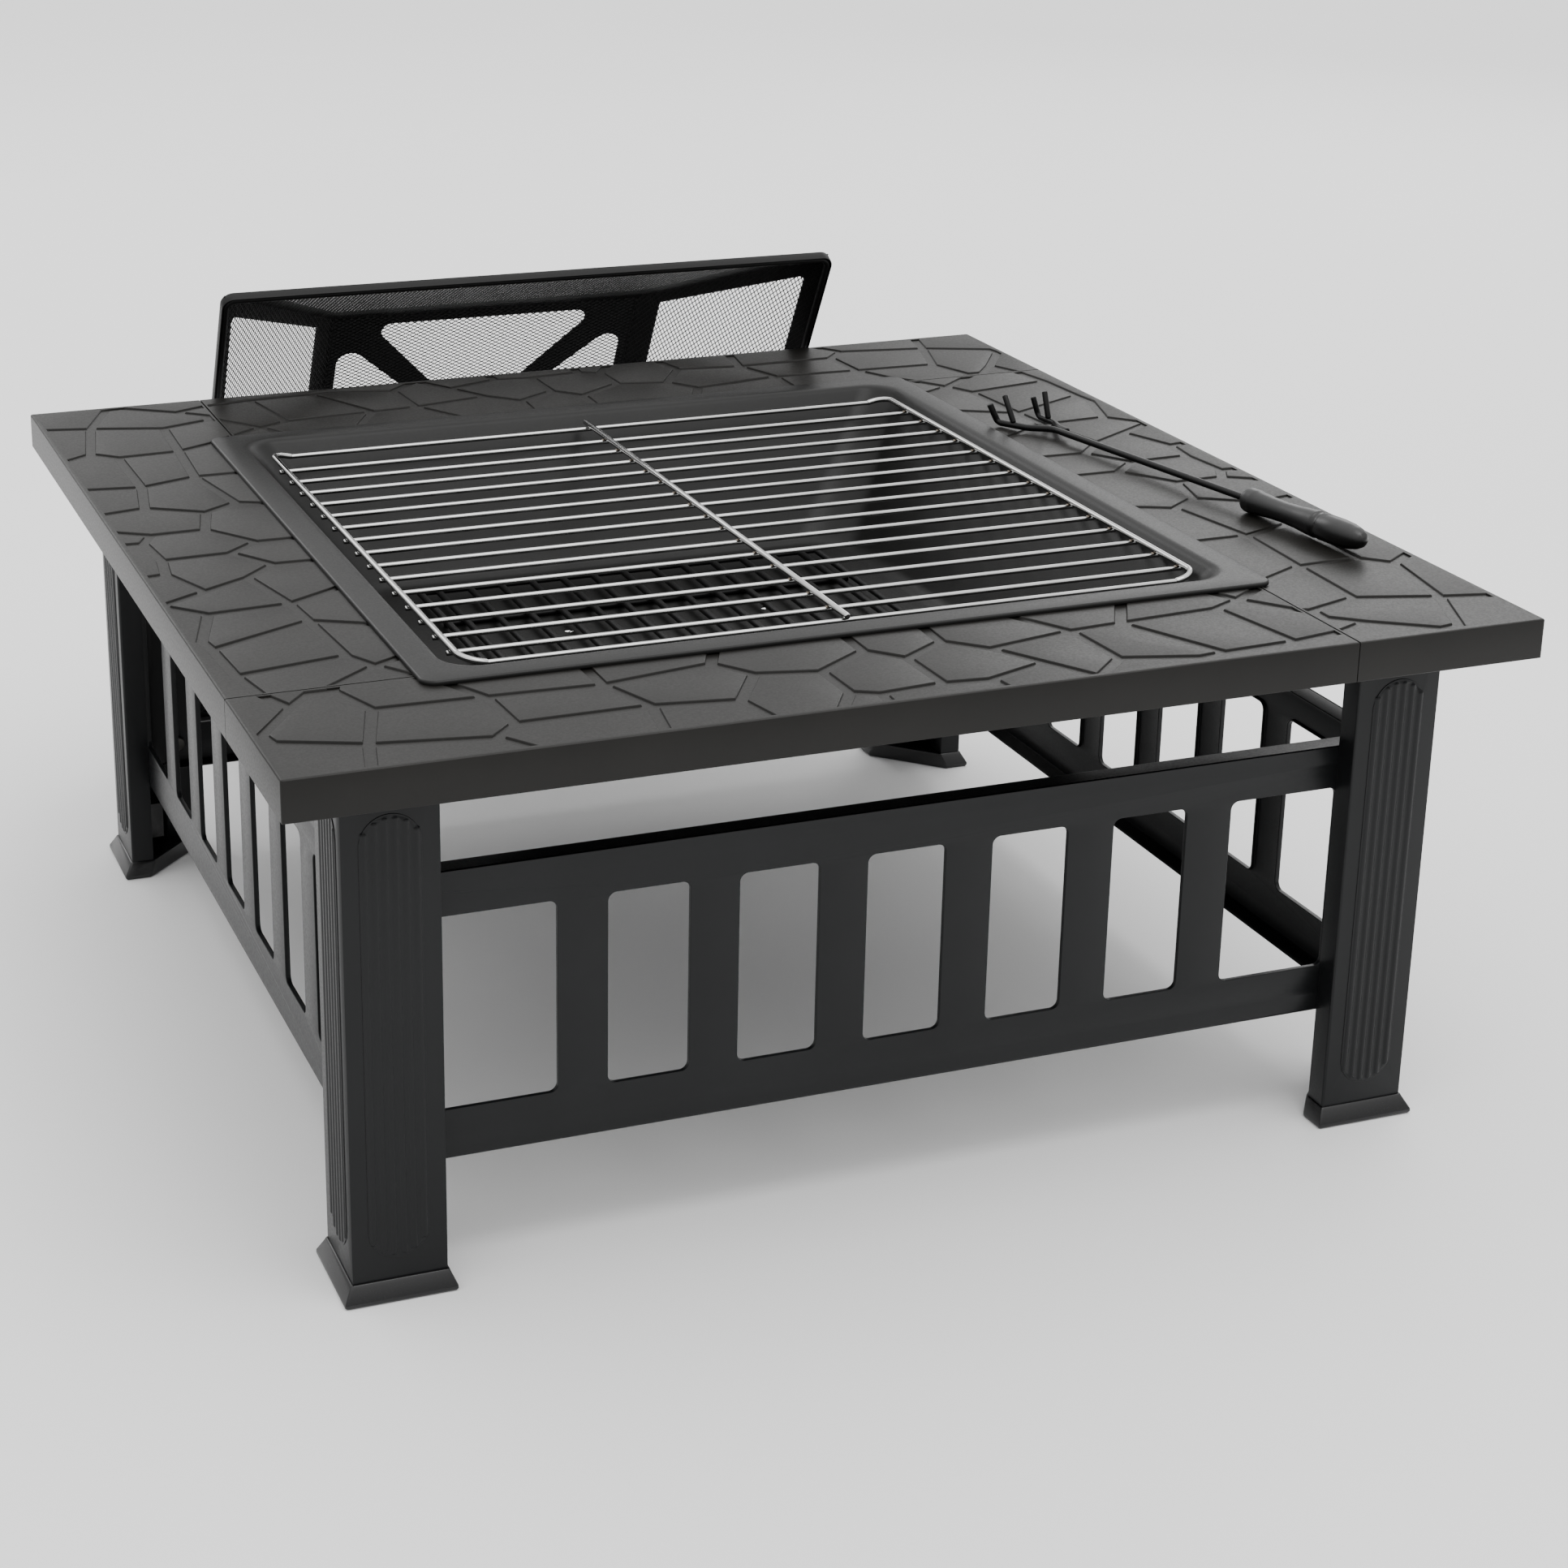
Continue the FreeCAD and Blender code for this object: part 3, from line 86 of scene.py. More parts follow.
# ---------------------------------------------------------------- sizes and colours


class FirePitSizes(bpy.types.PropertyGroup):
    """Sizes that finish the pieces; the outer sizes come from the frame."""

    edge_round: bpy.props.FloatProperty(
        name="Edge round",
        description="Radius of the painted sheet edges",
        default=0.45 * MM,
        unit="LENGTH",
    )
    fold_round: bpy.props.FloatProperty(
        name="Fold round",
        description="Outer radius of the folded sheet",
        default=1.8 * MM,
        unit="LENGTH",
    )
    stone_round: bpy.props.FloatProperty(
        name="Stone round",
        description="Radius of the pressed edges of the stones",
        default=0.35 * MM,
        unit="LENGTH",
    )
    foot_round: bpy.props.FloatProperty(
        name="Foot round",
        description="Radius of the moulded edges of the feet",
        default=1.4 * MM,
        unit="LENGTH",
    )
    rod_end_round: bpy.props.FloatProperty(
        name="Rod end round",
        description="Radius at the cut ends of the rods",
        default=0.9 * MM,
        unit="LENGTH",
    )
    diamond_wide: bpy.props.FloatProperty(
        name="Diamond width",
        description="Long way of one mesh opening",
        default=6.6 * MM,
        unit="LENGTH",
    )
    diamond_high: bpy.props.FloatProperty(
        name="Diamond height",
        description="Short way of one mesh opening",
        default=4.0 * MM,
        unit="LENGTH",
    )
    strand: bpy.props.FloatProperty(
        name="Strand",
        description="Half the width of a strand of the mesh",
        default=0.34 * MM,
        unit="LENGTH",
    )
    bowl_sheet: bpy.props.FloatProperty(
        name="Bowl sheet",
        description="Thickness of the bowl",
        default=1.5 * MM,
        unit="LENGTH",
    )


class FirePitColours(bpy.types.PropertyGroup):
    """Colours of the finishes, as sRGB hex values."""

    top_paint: bpy.props.StringProperty(
        name="Top paint", description="Black powder coat of the pressed top", default="151412"
    )
    frame_paint: bpy.props.StringProperty(
        name="Frame paint", description="Black powder coat of the legs and side frames", default="0f1011"
    )
    bowl_paint: bpy.props.StringProperty(
        name="Bowl paint", description="Heat-proof paint of the bowl", default="0e0e0d"
    )
    screen_paint: bpy.props.StringProperty(
        name="Screen paint", description="Matt black of the spark screen", default="0a0a0a"
    )
    chrome: bpy.props.StringProperty(
        name="Chrome", description="Plating of the cooking grate", default="bdbdbc"
    )
    zinc: bpy.props.StringProperty(
        name="Zinc", description="Black zinc plating of the bolts", default="4c4b48"
    )
    # The next two colours paint the rods' shadows on the cooking grate's bars, as dark beads shaped like
    # spot welds.
    rod_shadow_dark: bpy.props.StringProperty(
        name="Painted rod shadow, dark", description="Dark tone of the painted rod shadow beads", default="4a4038"
    )
    rod_shadow_light: bpy.props.StringProperty(
        name="Painted rod shadow, light", description="Light tone of the painted rod shadow beads", default="8d8479"
    )
    plastic: bpy.props.StringProperty(name="Plastic", description="Moulded feet", default="0c0c0d")
    grip: bpy.props.StringProperty(name="Grip", description="Handle of the fork", default="080808")


def sizes():
    """The finishing sizes of this scene."""
    return bpy.context.scene.firepit_sizes


def colours():
    """The finish colours of this scene."""
    return bpy.context.scene.firepit_colours


# ---------------------------------------------------------------- materials


def linear(hex_value):
    """An sRGB hex colour as linear RGBA."""
    channels = [int(hex_value[i : i + 2], 16) / 255 for i in (0, 2, 4)]
    return [c / 12.92 if c <= 0.04045 else ((c + 0.055) / 1.055) ** 2.4 for c in channels] + [1.0]


def put(tree, kind, inputs=None, **settings):
    """Adds a node with its settings; an input takes a value or a link from another node."""
    node = tree.nodes.new(kind)
    for key, value in settings.items():
        setattr(node, key, value)
    for key, value in (inputs or {}).items():
        if isinstance(value, bpy.types.NodeSocket):
            tree.links.new(value, node.inputs[key])
        else:
            node.inputs[key].default_value = value
    return node


def new_material(name):
    """An empty material with its shader and its object coordinates."""
    material = bpy.data.materials.new(name)
    material.use_nodes = True
    tree = material.node_tree
    tree.nodes.clear()
    shader = put(tree, "ShaderNodeBsdfPrincipled")
    put(tree, "ShaderNodeOutputMaterial", {"Surface": shader.outputs["BSDF"]})
    place = put(tree, "ShaderNodeTexCoord").outputs["Object"]
    return material, tree, shader, place


def noise(tree, place, size, detail=3.0, rough=0.5):
    """Noise whose features are about the given size in metres."""
    inputs = {"Vector": place, "Scale": 1.0 / size, "Detail": detail, "Roughness": rough}
    return put(tree, "ShaderNodeTexNoise", inputs).outputs["Fac"]


def spread(tree, value, low, high, from_low=0.3, from_high=0.7):
    """Stretches a noise value to a range."""
    inputs = {"Value": value, "From Min": from_low, "From Max": from_high}
    inputs.update({"To Min": low, "To Max": high})
    return put(tree, "ShaderNodeMapRange", inputs).outputs["Result"]


def tinted(tree, value, dark, light):
    """A colour between two, by a value."""
    ramp = put(tree, "ShaderNodeMix", {"Factor": value}, data_type="RGBA")
    ramp.inputs[6].default_value = dark
    ramp.inputs[7].default_value = light
    return ramp.outputs[2]


def shaded(colour, factor):
    """A colour made darker or lighter."""
    return [channel * factor for channel in colour[:3]] + [1.0]


def painted_steel(name, hex_colour, roughness, grain, relief):
    """Baked paint on steel: a soft gloss broken by the fine skin of the paint, a little uneven in tone."""
    material, tree, shader, place = new_material(name)
    colour = linear(hex_colour)
    cloud = noise(tree, place, 90 * MM, 4.0, 0.6)
    skin = noise(tree, place, grain, 2.0, 0.6)
    tone = tinted(tree, spread(tree, cloud, 0.0, 1.0), shaded(colour, 0.82), shaded(colour, 1.22))
    gloss = spread(tree, skin, roughness - 0.05, roughness + 0.06)
    relief_node = put(tree, "ShaderNodeBump", {"Height": skin, "Strength": 0.35, "Distance": relief})
    tree.links.new(tone, shader.inputs["Base Color"])
    tree.links.new(gloss, shader.inputs["Roughness"])
    tree.links.new(relief_node.outputs["Normal"], shader.inputs["Normal"])
    shader.inputs["IOR"].default_value = PAINT_IOR
    return material


def chrome_plate(name, hex_colour):
    """Chrome on drawn wire: bright, with a faint ripple along the wire and a trace of haze."""
    material, tree, shader, place = new_material(name)
    haze = noise(tree, place, 14 * MM, 3.0, 0.5)
    ripple = noise(tree, place, 3 * MM, 2.0, 0.4)
    bump = put(tree, "ShaderNodeBump", {"Height": ripple, "Strength": 0.18, "Distance": 0.06 * MM})
    shader.inputs["Base Color"].default_value = linear(hex_colour)
    shader.inputs["Metallic"].default_value = 1.0
    tree.links.new(spread(tree, haze, 0.06, 0.15), shader.inputs["Roughness"])
    tree.links.new(bump.outputs["Normal"], shader.inputs["Normal"])
    return material


def zinc_plate(name, hex_colour):
    """Black zinc on fasteners: dark dull metal with small cloudy patches."""
    material, tree, shader, place = new_material(name)
    patches = noise(tree, place, 2.5 * MM, 3.0, 0.6)
    colour = linear(hex_colour)
    tone = tinted(tree, spread(tree, patches, 0.0, 1.0), shaded(colour, 0.8), colour)
    tree.links.new(tone, shader.inputs["Base Color"])
    tree.links.new(spread(tree, patches, 0.3, 0.45), shader.inputs["Roughness"])
    shader.inputs["Metallic"].default_value = 1.0
    return material


def moulded_plastic(name, hex_colour, roughness, grain):
    """Moulded plastic: an even fine grain and a soft sheen on the edges."""
    material, tree, shader, place = new_material(name)
    colour = linear(hex_colour)
    texture = noise(tree, place, grain, 2.0, 0.7)
    bump = put(tree, "ShaderNodeBump", {"Height": texture, "Strength": 0.3, "Distance": 0.03 * MM})
    tone = tinted(tree, spread(tree, texture, 0.0, 1.0), shaded(colour, 0.9), shaded(colour, 1.15))
    tree.links.new(tone, shader.inputs["Base Color"])
    gloss = spread(tree, texture, roughness - 0.04, roughness + 0.04)
    tree.links.new(gloss, shader.inputs["Roughness"])
    tree.links.new(bump.outputs["Normal"], shader.inputs["Normal"])
    shader.inputs["IOR"].default_value = PLASTIC_IOR
    return material


def shadow_weld_bead(name, hex_colour):
    """Dark beads that paint the rods' shadows on the cooking grate, made as spot welds: dull, brown-grey
    and pitted, with lighter ridges between the pits.
    """
    material, tree, shader, place = new_material(name)
    pits = noise(tree, place, 0.8 * MM, 3.0, 0.7)
    tone = tinted(tree, spread(tree, pits, 0.0, 1.0), linear(hex_colour), linear(colours().rod_shadow_light))
    bump = put(tree, "ShaderNodeBump", {"Height": pits, "Strength": 0.6, "Distance": 0.2 * MM})
    tree.links.new(tone, shader.inputs["Base Color"])
    tree.links.new(bump.outputs["Normal"], shader.inputs["Normal"])
    shader.inputs["Metallic"].default_value = 0.9
    shader.inputs["Roughness"].default_value = 0.42
    return material


# A slot's maker, its material's name, its colour, and the maker's other values: roughness, size of
# the grain and, on paint, height of the relief.
RECIPES = {
    "powder_coat_top": (
        painted_steel, "Satin black powder coat", "top_paint", 0.4, 1.6 * MM, 0.05 * MM
    ),
    "powder_coat_frame": (
        painted_steel, "Black powder coat on the frame", "frame_paint", 0.34, 1.6 * MM, 0.03 * MM
    ),
    "bowl_coat": (painted_steel, "Heat-proof black paint", "bowl_paint", 0.36, 1.2 * MM, 0.04 * MM),
    "grate_black": (painted_steel, "Black baked wire paint", "screen_paint", 0.45, 0.8 * MM, 0.03 * MM),
    "screen_coat": (painted_steel, "Matt black paint", "screen_paint", 0.5, 1.0 * MM, 0.04 * MM),
    "screen_wire": (painted_steel, "Painted expanded mesh", "screen_paint", 0.5, 0.6 * MM, 0.02 * MM),
    "fork_steel": (painted_steel, "Gloss black paint on rod", "grip", 0.3, 1.0 * MM, 0.03 * MM),
    "fork_grip": (moulded_plastic, "Moulded phenolic grip", "grip", 0.32, 0.9 * MM),
    "foot_plastic": (moulded_plastic, "Moulded polypropylene", "plastic", 0.24, 0.7 * MM),
    "zinc_fastener": (zinc_plate, "Black zinc plate", "zinc"),
    "grate_chrome": (chrome_plate, "Chrome-plated wire", "chrome"),
    # Painted shadow of the rods: dark beads beside them on the cooking grate, in weld colours.
    "painted_rod_shadow": (shadow_weld_bead, "Painted rod shadow bead", "rod_shadow_dark"),
}
FINISHES = {}


def finish(slot):
    """The material of a slot, made once."""
    if slot not in FINISHES:
        maker, name, colour, *values = RECIPES[slot]
        FINISHES[slot] = maker(name, getattr(colours(), colour), *values)
    return FINISHES[slot]


def dress(obj, slot, finish_name=None):
    """Gives a piece one material: its slot's, or another finish that has the same slot."""
    obj.data.materials.clear()
    obj.data.materials.append(finish(finish_name or slot))


# ---------------------------------------------------------------- mesh tools


def only(*objects):
    """Selects these objects and nothing else; the first is active."""
    bpy.ops.object.select_all(action="DESELECT")
    for obj in objects:
        obj.select_set(True)
    bpy.context.view_layer.objects.active = objects[0]


def in_edit(obj, mode="VERT"):
    """Opens one object in edit mode."""
    only(obj)
    bpy.ops.object.mode_set(mode="EDIT")
    bpy.ops.mesh.select_mode(type=mode)


def leave_edit():
    """Back to object mode, which writes the mesh."""
    bpy.ops.object.mode_set(mode="OBJECT")


def apply_modifier(obj, kind, **settings):
    """Adds a modifier with its settings and applies it."""
    modifier = obj.modifiers.new(kind.title(), kind)
    for key, value in settings.items():
        setattr(modifier, key, value)
    only(obj)
    bpy.ops.object.modifier_apply(modifier=modifier.name)


def settle(obj):
    """Puts the place of a finished piece into its mesh."""
    only(obj)
    bpy.ops.object.transform_apply(location=True, rotation=True, scale=True)


def smooth(obj, degrees=35.0):
    """Smooth shading over bends up to an angle."""
    only(obj)
    bpy.ops.object.shade_smooth_by_angle(angle=math.radians(degrees))


def blank_of(node, name):
    """A clean copy of a CAD node: welded, with its flat faces joined up."""
    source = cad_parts[node]
    obj = bpy.data.objects.new(name, source.data.copy())
    obj.data.name = name
    bpy.context.scene.collection.objects.link(obj)
    only(obj)
    bpy.ops.mesh.customdata_custom_splitnormals_clear()
    in_edit(obj)
    bpy.ops.mesh.select_all(action="SELECT")
    bpy.ops.mesh.remove_doubles(threshold=0.004 * MM)
    bpy.ops.mesh.dissolve_limited(angle_limit=math.radians(0.6))
    leave_edit()
    for edge in obj.data.edges:
        edge.use_edge_sharp = False
    return obj


def round_edges(obj, width, segments=2, degrees=30.0):
    """Rounds every edge sharper than an angle."""
    apply_modifier(
        obj,
        "BEVEL",
        width=width,
        segments=segments,
        limit_method="ANGLE",
        angle_limit=math.radians(degrees),
        use_clamp_overlap=False,
        miter_outer="MITER_ARC",
    )


def round_weighted(obj, width, segments, degrees, share):
    """Rounds the sharp edges, each by its own share of the width; share takes the ends of an edge."""
    in_edit(obj, "EDGE")
    bpy.ops.mesh.select_all(action="DESELECT")
    bpy.ops.mesh.edges_select_sharp(sharpness=math.radians(degrees))
    leave_edit()
    mesh = obj.data
    weights = mesh.attributes.new("bevel_weight_edge", "FLOAT", "EDGE")
    for edge in mesh.edges:
        if edge.select:
            ends = [mesh.vertices[index].co for index in edge.vertices]
            weights.data[edge.index].value = share(*ends)
    apply_modifier(
        obj,
        "BEVEL",
        width=width,
        segments=segments,
        limit_method="WEIGHT",
        use_clamp_overlap=False,
    )


def on_planes(points, planes, slack=0.02 * MM):
    """How many of the planes hold every point.

    A plane is an axis and a distance: from the table centre to either side, or up from the floor.
    """
    found = 0
    for axis, distance in planes:
        if axis == 2:
            reach = [point.z for point in points]
        else:
            reach = [abs((point - TABLE_CENTRE)[axis]) for point in points]
        found += all(abs(value - distance) < slack for value in reach)
    return found


def join(name, objects):
    """Joins objects into the first one and names it."""
    only(*objects)
    if len(objects) > 1:
        bpy.ops.object.join()
    objects[0].name = name
    objects[0].data.name = name
    return objects[0]


def hand_over(obj, slot, body, nodes, finish_name=None):
    """Finishes a piece: its material, its body, its slot and the CAD nodes that it stands for."""
    dress(obj, slot, finish_name)
    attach(obj, body)
    if nodes:
        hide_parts(*nodes)


def finished_copy(node, slot, body, width, segments=2, degrees=30.0, shade=35.0):
    """The finished piece for a CAD node: the same shape with real edges."""
    obj = blank_of(node, node + "_finished")
    round_edges(obj, width, segments, degrees)
    smooth(obj, shade)
    hand_over(obj, slot, body, [node])
    return obj


# ---------------------------------------------------------------- table


class FIREPIT_OT_top(bpy.types.Operator):
    """Finish the four pressed top panels"""

    bl_idname = "firepit.top"
    bl_label = "Top panels"

    def execute(self, context):
        for node in PANELS:
            panel = blank_of(node, node + "_finished")
            round_weighted(panel, sizes().fold_round, 4, 25.0, self.share)
            smooth(panel, 32.0)
            hand_over(panel, "powder_coat_top", "table", [node])
        return {"FINISHED"}

    def share(self, start, end):
        """The folds are fully round, the skirt's foot less so, the stones and the seams a little."""
        outer = on_planes((start, end), ((0, TABLE_HALF), (1, TABLE_HALF)))
        top = on_planes((start, end), ((2, TABLE_TOP),))
        foot = on_planes((start, end), ((2, SKIRT_FOOT),))
        if outer + top >= 2:
            return 1.0
        if outer and foot:
            return 0.4
        return sizes().stone_round / sizes().fold_round if top else 0.0


class FIREPIT_OT_legs(bpy.types.Operator):
    """Finish the four folded legs with their fluted faces"""

    bl_idname = "firepit.legs"
    bl_label = "Legs"

    def execute(self, context):
        for corner in CORNERS:
            node = "leg_" + corner
            leg = blank_of(node, node + "_finished")
            round_weighted(leg, sizes().fold_round, 4, 50.0, self.share)
            smooth(leg, 50.0)
            hand_over(leg, "powder_coat_frame", "table", [node])
        return {"FINISHED"}

    def share(self, start, end):
        """The upright folds are fully round, every other edge is just broken."""
        inner = LEG_REACH - LEG_FACE
        planes = [(axis, distance) for distance in (LEG_REACH, inner) for axis in (0, 1)]
        fold = on_planes((start, end), planes) >= 2
        tall = abs(start.z - end.z) > LEG_FACE
        return 1.0 if fold and tall else 0.09


class FIREPIT_OT_feet(bpy.types.Operator):
    """Finish the four moulded feet"""

    bl_idname = "firepit.feet"
    bl_label = "Feet"

    def execute(self, context):
        for corner in CORNERS:
            node = "foot_" + corner
            foot = blank_of(node, node + "_finished")
            round_weighted(foot, sizes().foot_round, 3, 25.0, self.share)
            smooth(foot, 50.0)
            hand_over(foot, "foot_plastic", "table", [node])
        return {"FINISHED"}

    def share(self, start, end):
        """The upright corners are fully round, the rims a little."""
        upright = abs(start.z - end.z) > 0.1 * MM
        return 1.0 if upright else 0.3


class FIREPIT_OT_side_frames(bpy.types.Operator):
    """Finish the four pierced side frames"""

    bl_idname = "firepit.side_frames"
    bl_label = "Side frames"

    def execute(self, context):
        for side in SIDES:
            node = "side_frame_" + side
            panel = blank_of(node, node + "_finished")
            round_weighted(panel, sizes().fold_round, 3, 40.0, self.share)
            smooth(panel, 40.0)
            hand_over(panel, "powder_coat_frame", "table", [node])
        return {"FINISHED"}

    def share(self, start, end):
        """The long folds are fully round, the rims of the windows and holes a little."""
        face = LEG_REACH - FRAME_FACE
        outer = on_planes((start, end), ((0, face), (1, face)))
        long_edge = (start - end).length > 4 * LEG_FACE
        return 1.0 if outer and long_edge else 0.25


class FIREPIT_OT_joints(bpy.types.Operator):
    """Finish the seam plates, studs, bolts and nuts"""

    bl_idname = "firepit.joints"
    bl_label = "Joint plates and fasteners"
    edge = 0.3 * MM

    def execute(self, context):
        for side in SIDES:
            finished_copy("seam_plate_" + side, "powder_coat_frame", "table", sizes().edge_round)
        for place in ("seam", "leg_top"):
            for kind in ("studs", "nuts"):
                finished_copy(place + "_" + kind, "zinc_fastener", "table", self.edge)
        for kind in ("bolts", "nuts"):
            finished_copy("frame_" + kind, "zinc_fastener", "table", self.edge)
        return {"FINISHED"}


# ---------------------------------------------------------------- bowl


def ringed(name, rows, centre, segments):
    """A skin through square rings with round corners; each row is half width, corner radius and height."""
    bpy.ops.object.select_all(action="DESELECT")
    skin = None
    for half, radius, height in rows:
        bpy.ops.mesh.primitive_plane_add(size=2 * half, location=(centre.x, centre.y, height))
        if skin is None:
            skin = bpy.context.active_object
            skin.name = name
            in_edit(skin)
            bpy.ops.mesh.select_all(action="SELECT")
        bpy.ops.mesh.bevel(offset=radius, offset_type="ABSOLUTE", segments=segments, affect="VERTICES")
        ring = skin.vertex_groups.new(name="ring")
        skin.vertex_groups.active_index = ring.index
        bpy.ops.object.vertex_group_assign()
        bpy.ops.mesh.delete(type="ONLY_FACE")
        bpy.ops.mesh.select_all(action="DESELECT")
    for first in range(len(rows) - 1):
        bpy.ops.mesh.select_all(action="DESELECT")
        for ring in (first, first + 1):
            skin.vertex_groups.active_index = ring
            bpy.ops.object.vertex_group_select()
        bpy.ops.mesh.bridge_edge_loops()
    bpy.ops.mesh.select_all(action="DESELECT")
    bpy.ops.object.vertex_group_select()
    bpy.ops.mesh.edge_face_add()
    bpy.ops.mesh.select_all(action="SELECT")
    bpy.ops.mesh.normals_make_consistent(inside=False)
    leave_edit()
    skin.vertex_groups.clear()
    settle(skin)
    return skin


def bowl_profile():
    """Half width, corner radius and height of each ring, from the hem over the flange to the floor."""
    top = BOWL_HIGH.z
    flange = (BOWL_HIGH.x - BOWL_LOW.x) / 2
    hem = TABLE_TOP + 0.1 * MM
    floor = BOWL_LOW.z + sizes().bowl_sheet
    slope = math.radians(56.6)
    flange_corner = 10 * MM
    mouth_corner, throat_corner = 27 * MM, 24 * MM
    foot_corner, floor_corner = 38 * MM, 35 * MM
    edge_bend, throat_bend, floor_bend = 1.6 * MM, 8.0 * MM, 15.0 * MM
    edge_rings, throat_rings, wall_rings, floor_rings = 3, 6, 8, 5

    rows = [(flange, flange_corner, hem)]
    crown = top - 0.2 * MM
    for step in range(edge_rings + 1):
        angle = math.radians(90.0 * step / edge_rings)
        inset = edge_bend * (1 - math.cos(angle))
        rows.append((flange - inset, flange_corner - inset, crown - edge_bend * (1 - math.sin(angle))))

    mouth = flange - 16.5 * MM
    rows.append((mouth + 0.2 * MM, mouth_corner, top))
    for step in range(1, throat_rings + 1):
        share = step / throat_rings
        angle = slope * share
        half = mouth - throat_bend * math.sin(angle)
        corner = mouth_corner + (throat_corner - mouth_corner) * share
        rows.append((half, corner, top - throat_bend * (1 - math.cos(angle))))

    start_half, start_z = rows[-1][0], rows[-1][2]
    end_z = floor + floor_bend * (1 - math.cos(slope))
    for step in range(1, wall_rings + 1):
        share = step / wall_rings
        height = start_z + (end_z - start_z) * share
        half = start_half - (start_z - height) / math.tan(slope)
        rows.append((half, throat_corner + (foot_corner - throat_corner) * share, height))

    end_half = rows[-1][0]
    for step in range(1, floor_rings + 1):
        share = step / floor_rings
        angle = slope * (1 - share)
        half = end_half - floor_bend * (math.sin(slope) - math.sin(angle))
        corner = foot_corner + (floor_corner - foot_corner) * share
        rows.append((half, corner, floor + floor_bend * (1 - math.cos(angle))))
    return rows


class FIREPIT_OT_bowl(bpy.types.Operator):
    """Press the fire bowl with its flange, rounded throat and drain holes"""

    bl_idname = "firepit.bowl"
    bl_label = "Fire bowl"

    def execute(self, context):
        corner_segments = 14
        bowl = ringed("fire_bowl_pressed", bowl_profile(), BOWL_CENTRE, corner_segments)
        floor = min(bowl.data.polygons, key=lambda face: face.center.z)
        if floor.normal.z < 0:
            in_edit(bowl)
            bpy.ops.mesh.select_all(action="SELECT")
            bpy.ops.mesh.flip_normals()
            leave_edit()
        sheet = sizes().bowl_sheet
        apply_modifier(bowl, "SOLIDIFY", thickness=sheet, offset=-1.0, use_even_offset=True)
        self.drill(bowl)
        smooth(bowl, 40.0)
        hand_over(bowl, "bowl_coat", "bowl", ["fire_bowl"])
        return {"FINISHED"}

    def drill(self, bowl):
        """Four drain holes in the floor."""
        drills = []
        for x in (-DRAIN_OFF[0], DRAIN_OFF[0]):
            for y in (-DRAIN_OFF[1], DRAIN_OFF[1]):
                bpy.ops.object.select_all(action="DESELECT")
                bpy.ops.mesh.primitive_cylinder_add(
                    vertices=32,
                    radius=DRAIN_RADIUS,
                    depth=3 * DRAIN_RADIUS,
                    location=(BOWL_CENTRE.x + x, BOWL_CENTRE.y + y, BOWL_LOW.z),
                )
                drills.append(bpy.context.active_object)
        drill = join("drill", drills)
        settle(drill)
        apply_modifier(bowl, "BOOLEAN", object=drill, operation="DIFFERENCE", solver="EXACT")
        bpy.data.objects.remove(drill)


# ---------------------------------------------------------------- grates


class FIREPIT_OT_charcoal_grate(bpy.types.Operator):
    """Finish the charcoal grate"""

    bl_idname = "firepit.charcoal_grate"
    bl_label = "Charcoal grate"

    def execute(self, context):
        edge = 0.5 * MM
        for part in ("bars", "cross_rods", "frame"):
            finished_copy("charcoal_grate_" + part, "grate_black", "charcoal", edge, 2, 60.0, 40.0)
        return {"FINISHED"}


class FIREPIT_OT_cooking_grate(bpy.types.Operator):
    """Finish the chrome cooking grate, with dark beads that paint the rods' shadows"""

    bl_idname = "firepit.cooking_grate"
    bl_label = "Cooking grate"

    def execute(self, context):
        for part in ("bars", "side_rod_left", "side_rod_right", "centre_rod"):
            node = "cooking_grate_" + part
            finished_copy(node, "grate_chrome", "cooking", sizes().rod_end_round, 3, 60.0, 40.0)
        self.rod_shadow_beads()
        return {"FINISHED"}

    def rod_shadow_beads(self):
        """A small dark bead on each bar beside the side rods and the centre rod: painted shadow of the
        rods, made as a spot weld.
        """
        low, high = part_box("cooking_grate_bars")
        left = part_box("cooking_grate_side_rod_left")
        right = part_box("cooking_grate_side_rod_right")
        centre = (low + high) / 2
        rod = 2.1 * MM
        bead_radius = 1.3 * MM
        sink = 0.3 * MM
        # The middle line of each rod along the grate, and the side of it that the painted shadow bead is
        # on.
        columns = ((left[0].x + rod, 1.0), (centre.x, -1.0), (right[1].x - rod, -1.0))
        beads = []
        for across in self.bar_lines():
            for column, side in columns:
                bpy.ops.object.select_all(action="DESELECT")
                bpy.ops.mesh.primitive_ico_sphere_add(subdivisions=2, radius=bead_radius)
                bead = bpy.context.active_object
                bead.scale = (1.1, 1.2, 0.7)
                bead.location = (column + side * rod, across, high.z - sink)
                settle(bead)
                beads.append(bead)
        # These beads are painted shadow of the rods, in weld colours.
        rod_shadow_beads = join("cooking_grate_rod_shadow_beads", beads)
        smooth(rod_shadow_beads, 60.0)
        hand_over(rod_shadow_beads, "grate_chrome", "cooking", [], "painted_rod_shadow")

    def bar_lines(self):
        """Where the inner bars lie, from the ends of the bars that reach past the side rods."""
        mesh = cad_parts["cooking_grate_bars"].data
        edge = min(vertex.co.x for vertex in mesh.vertices) + 0.5 * MM
        ends = sorted(vertex.co.y for vertex in mesh.vertices if vertex.co.x < edge)
        least_gap = 5 * MM
        lines = []
        group = [ends[0]]
        for value in ends[1:] + [math.inf]:
            if value - group[-1] > least_gap:
                lines.append((group[0] + group[-1]) / 2)
                group = []
            group.append(value)
        return lines


# ---------------------------------------------------------------- spark screen


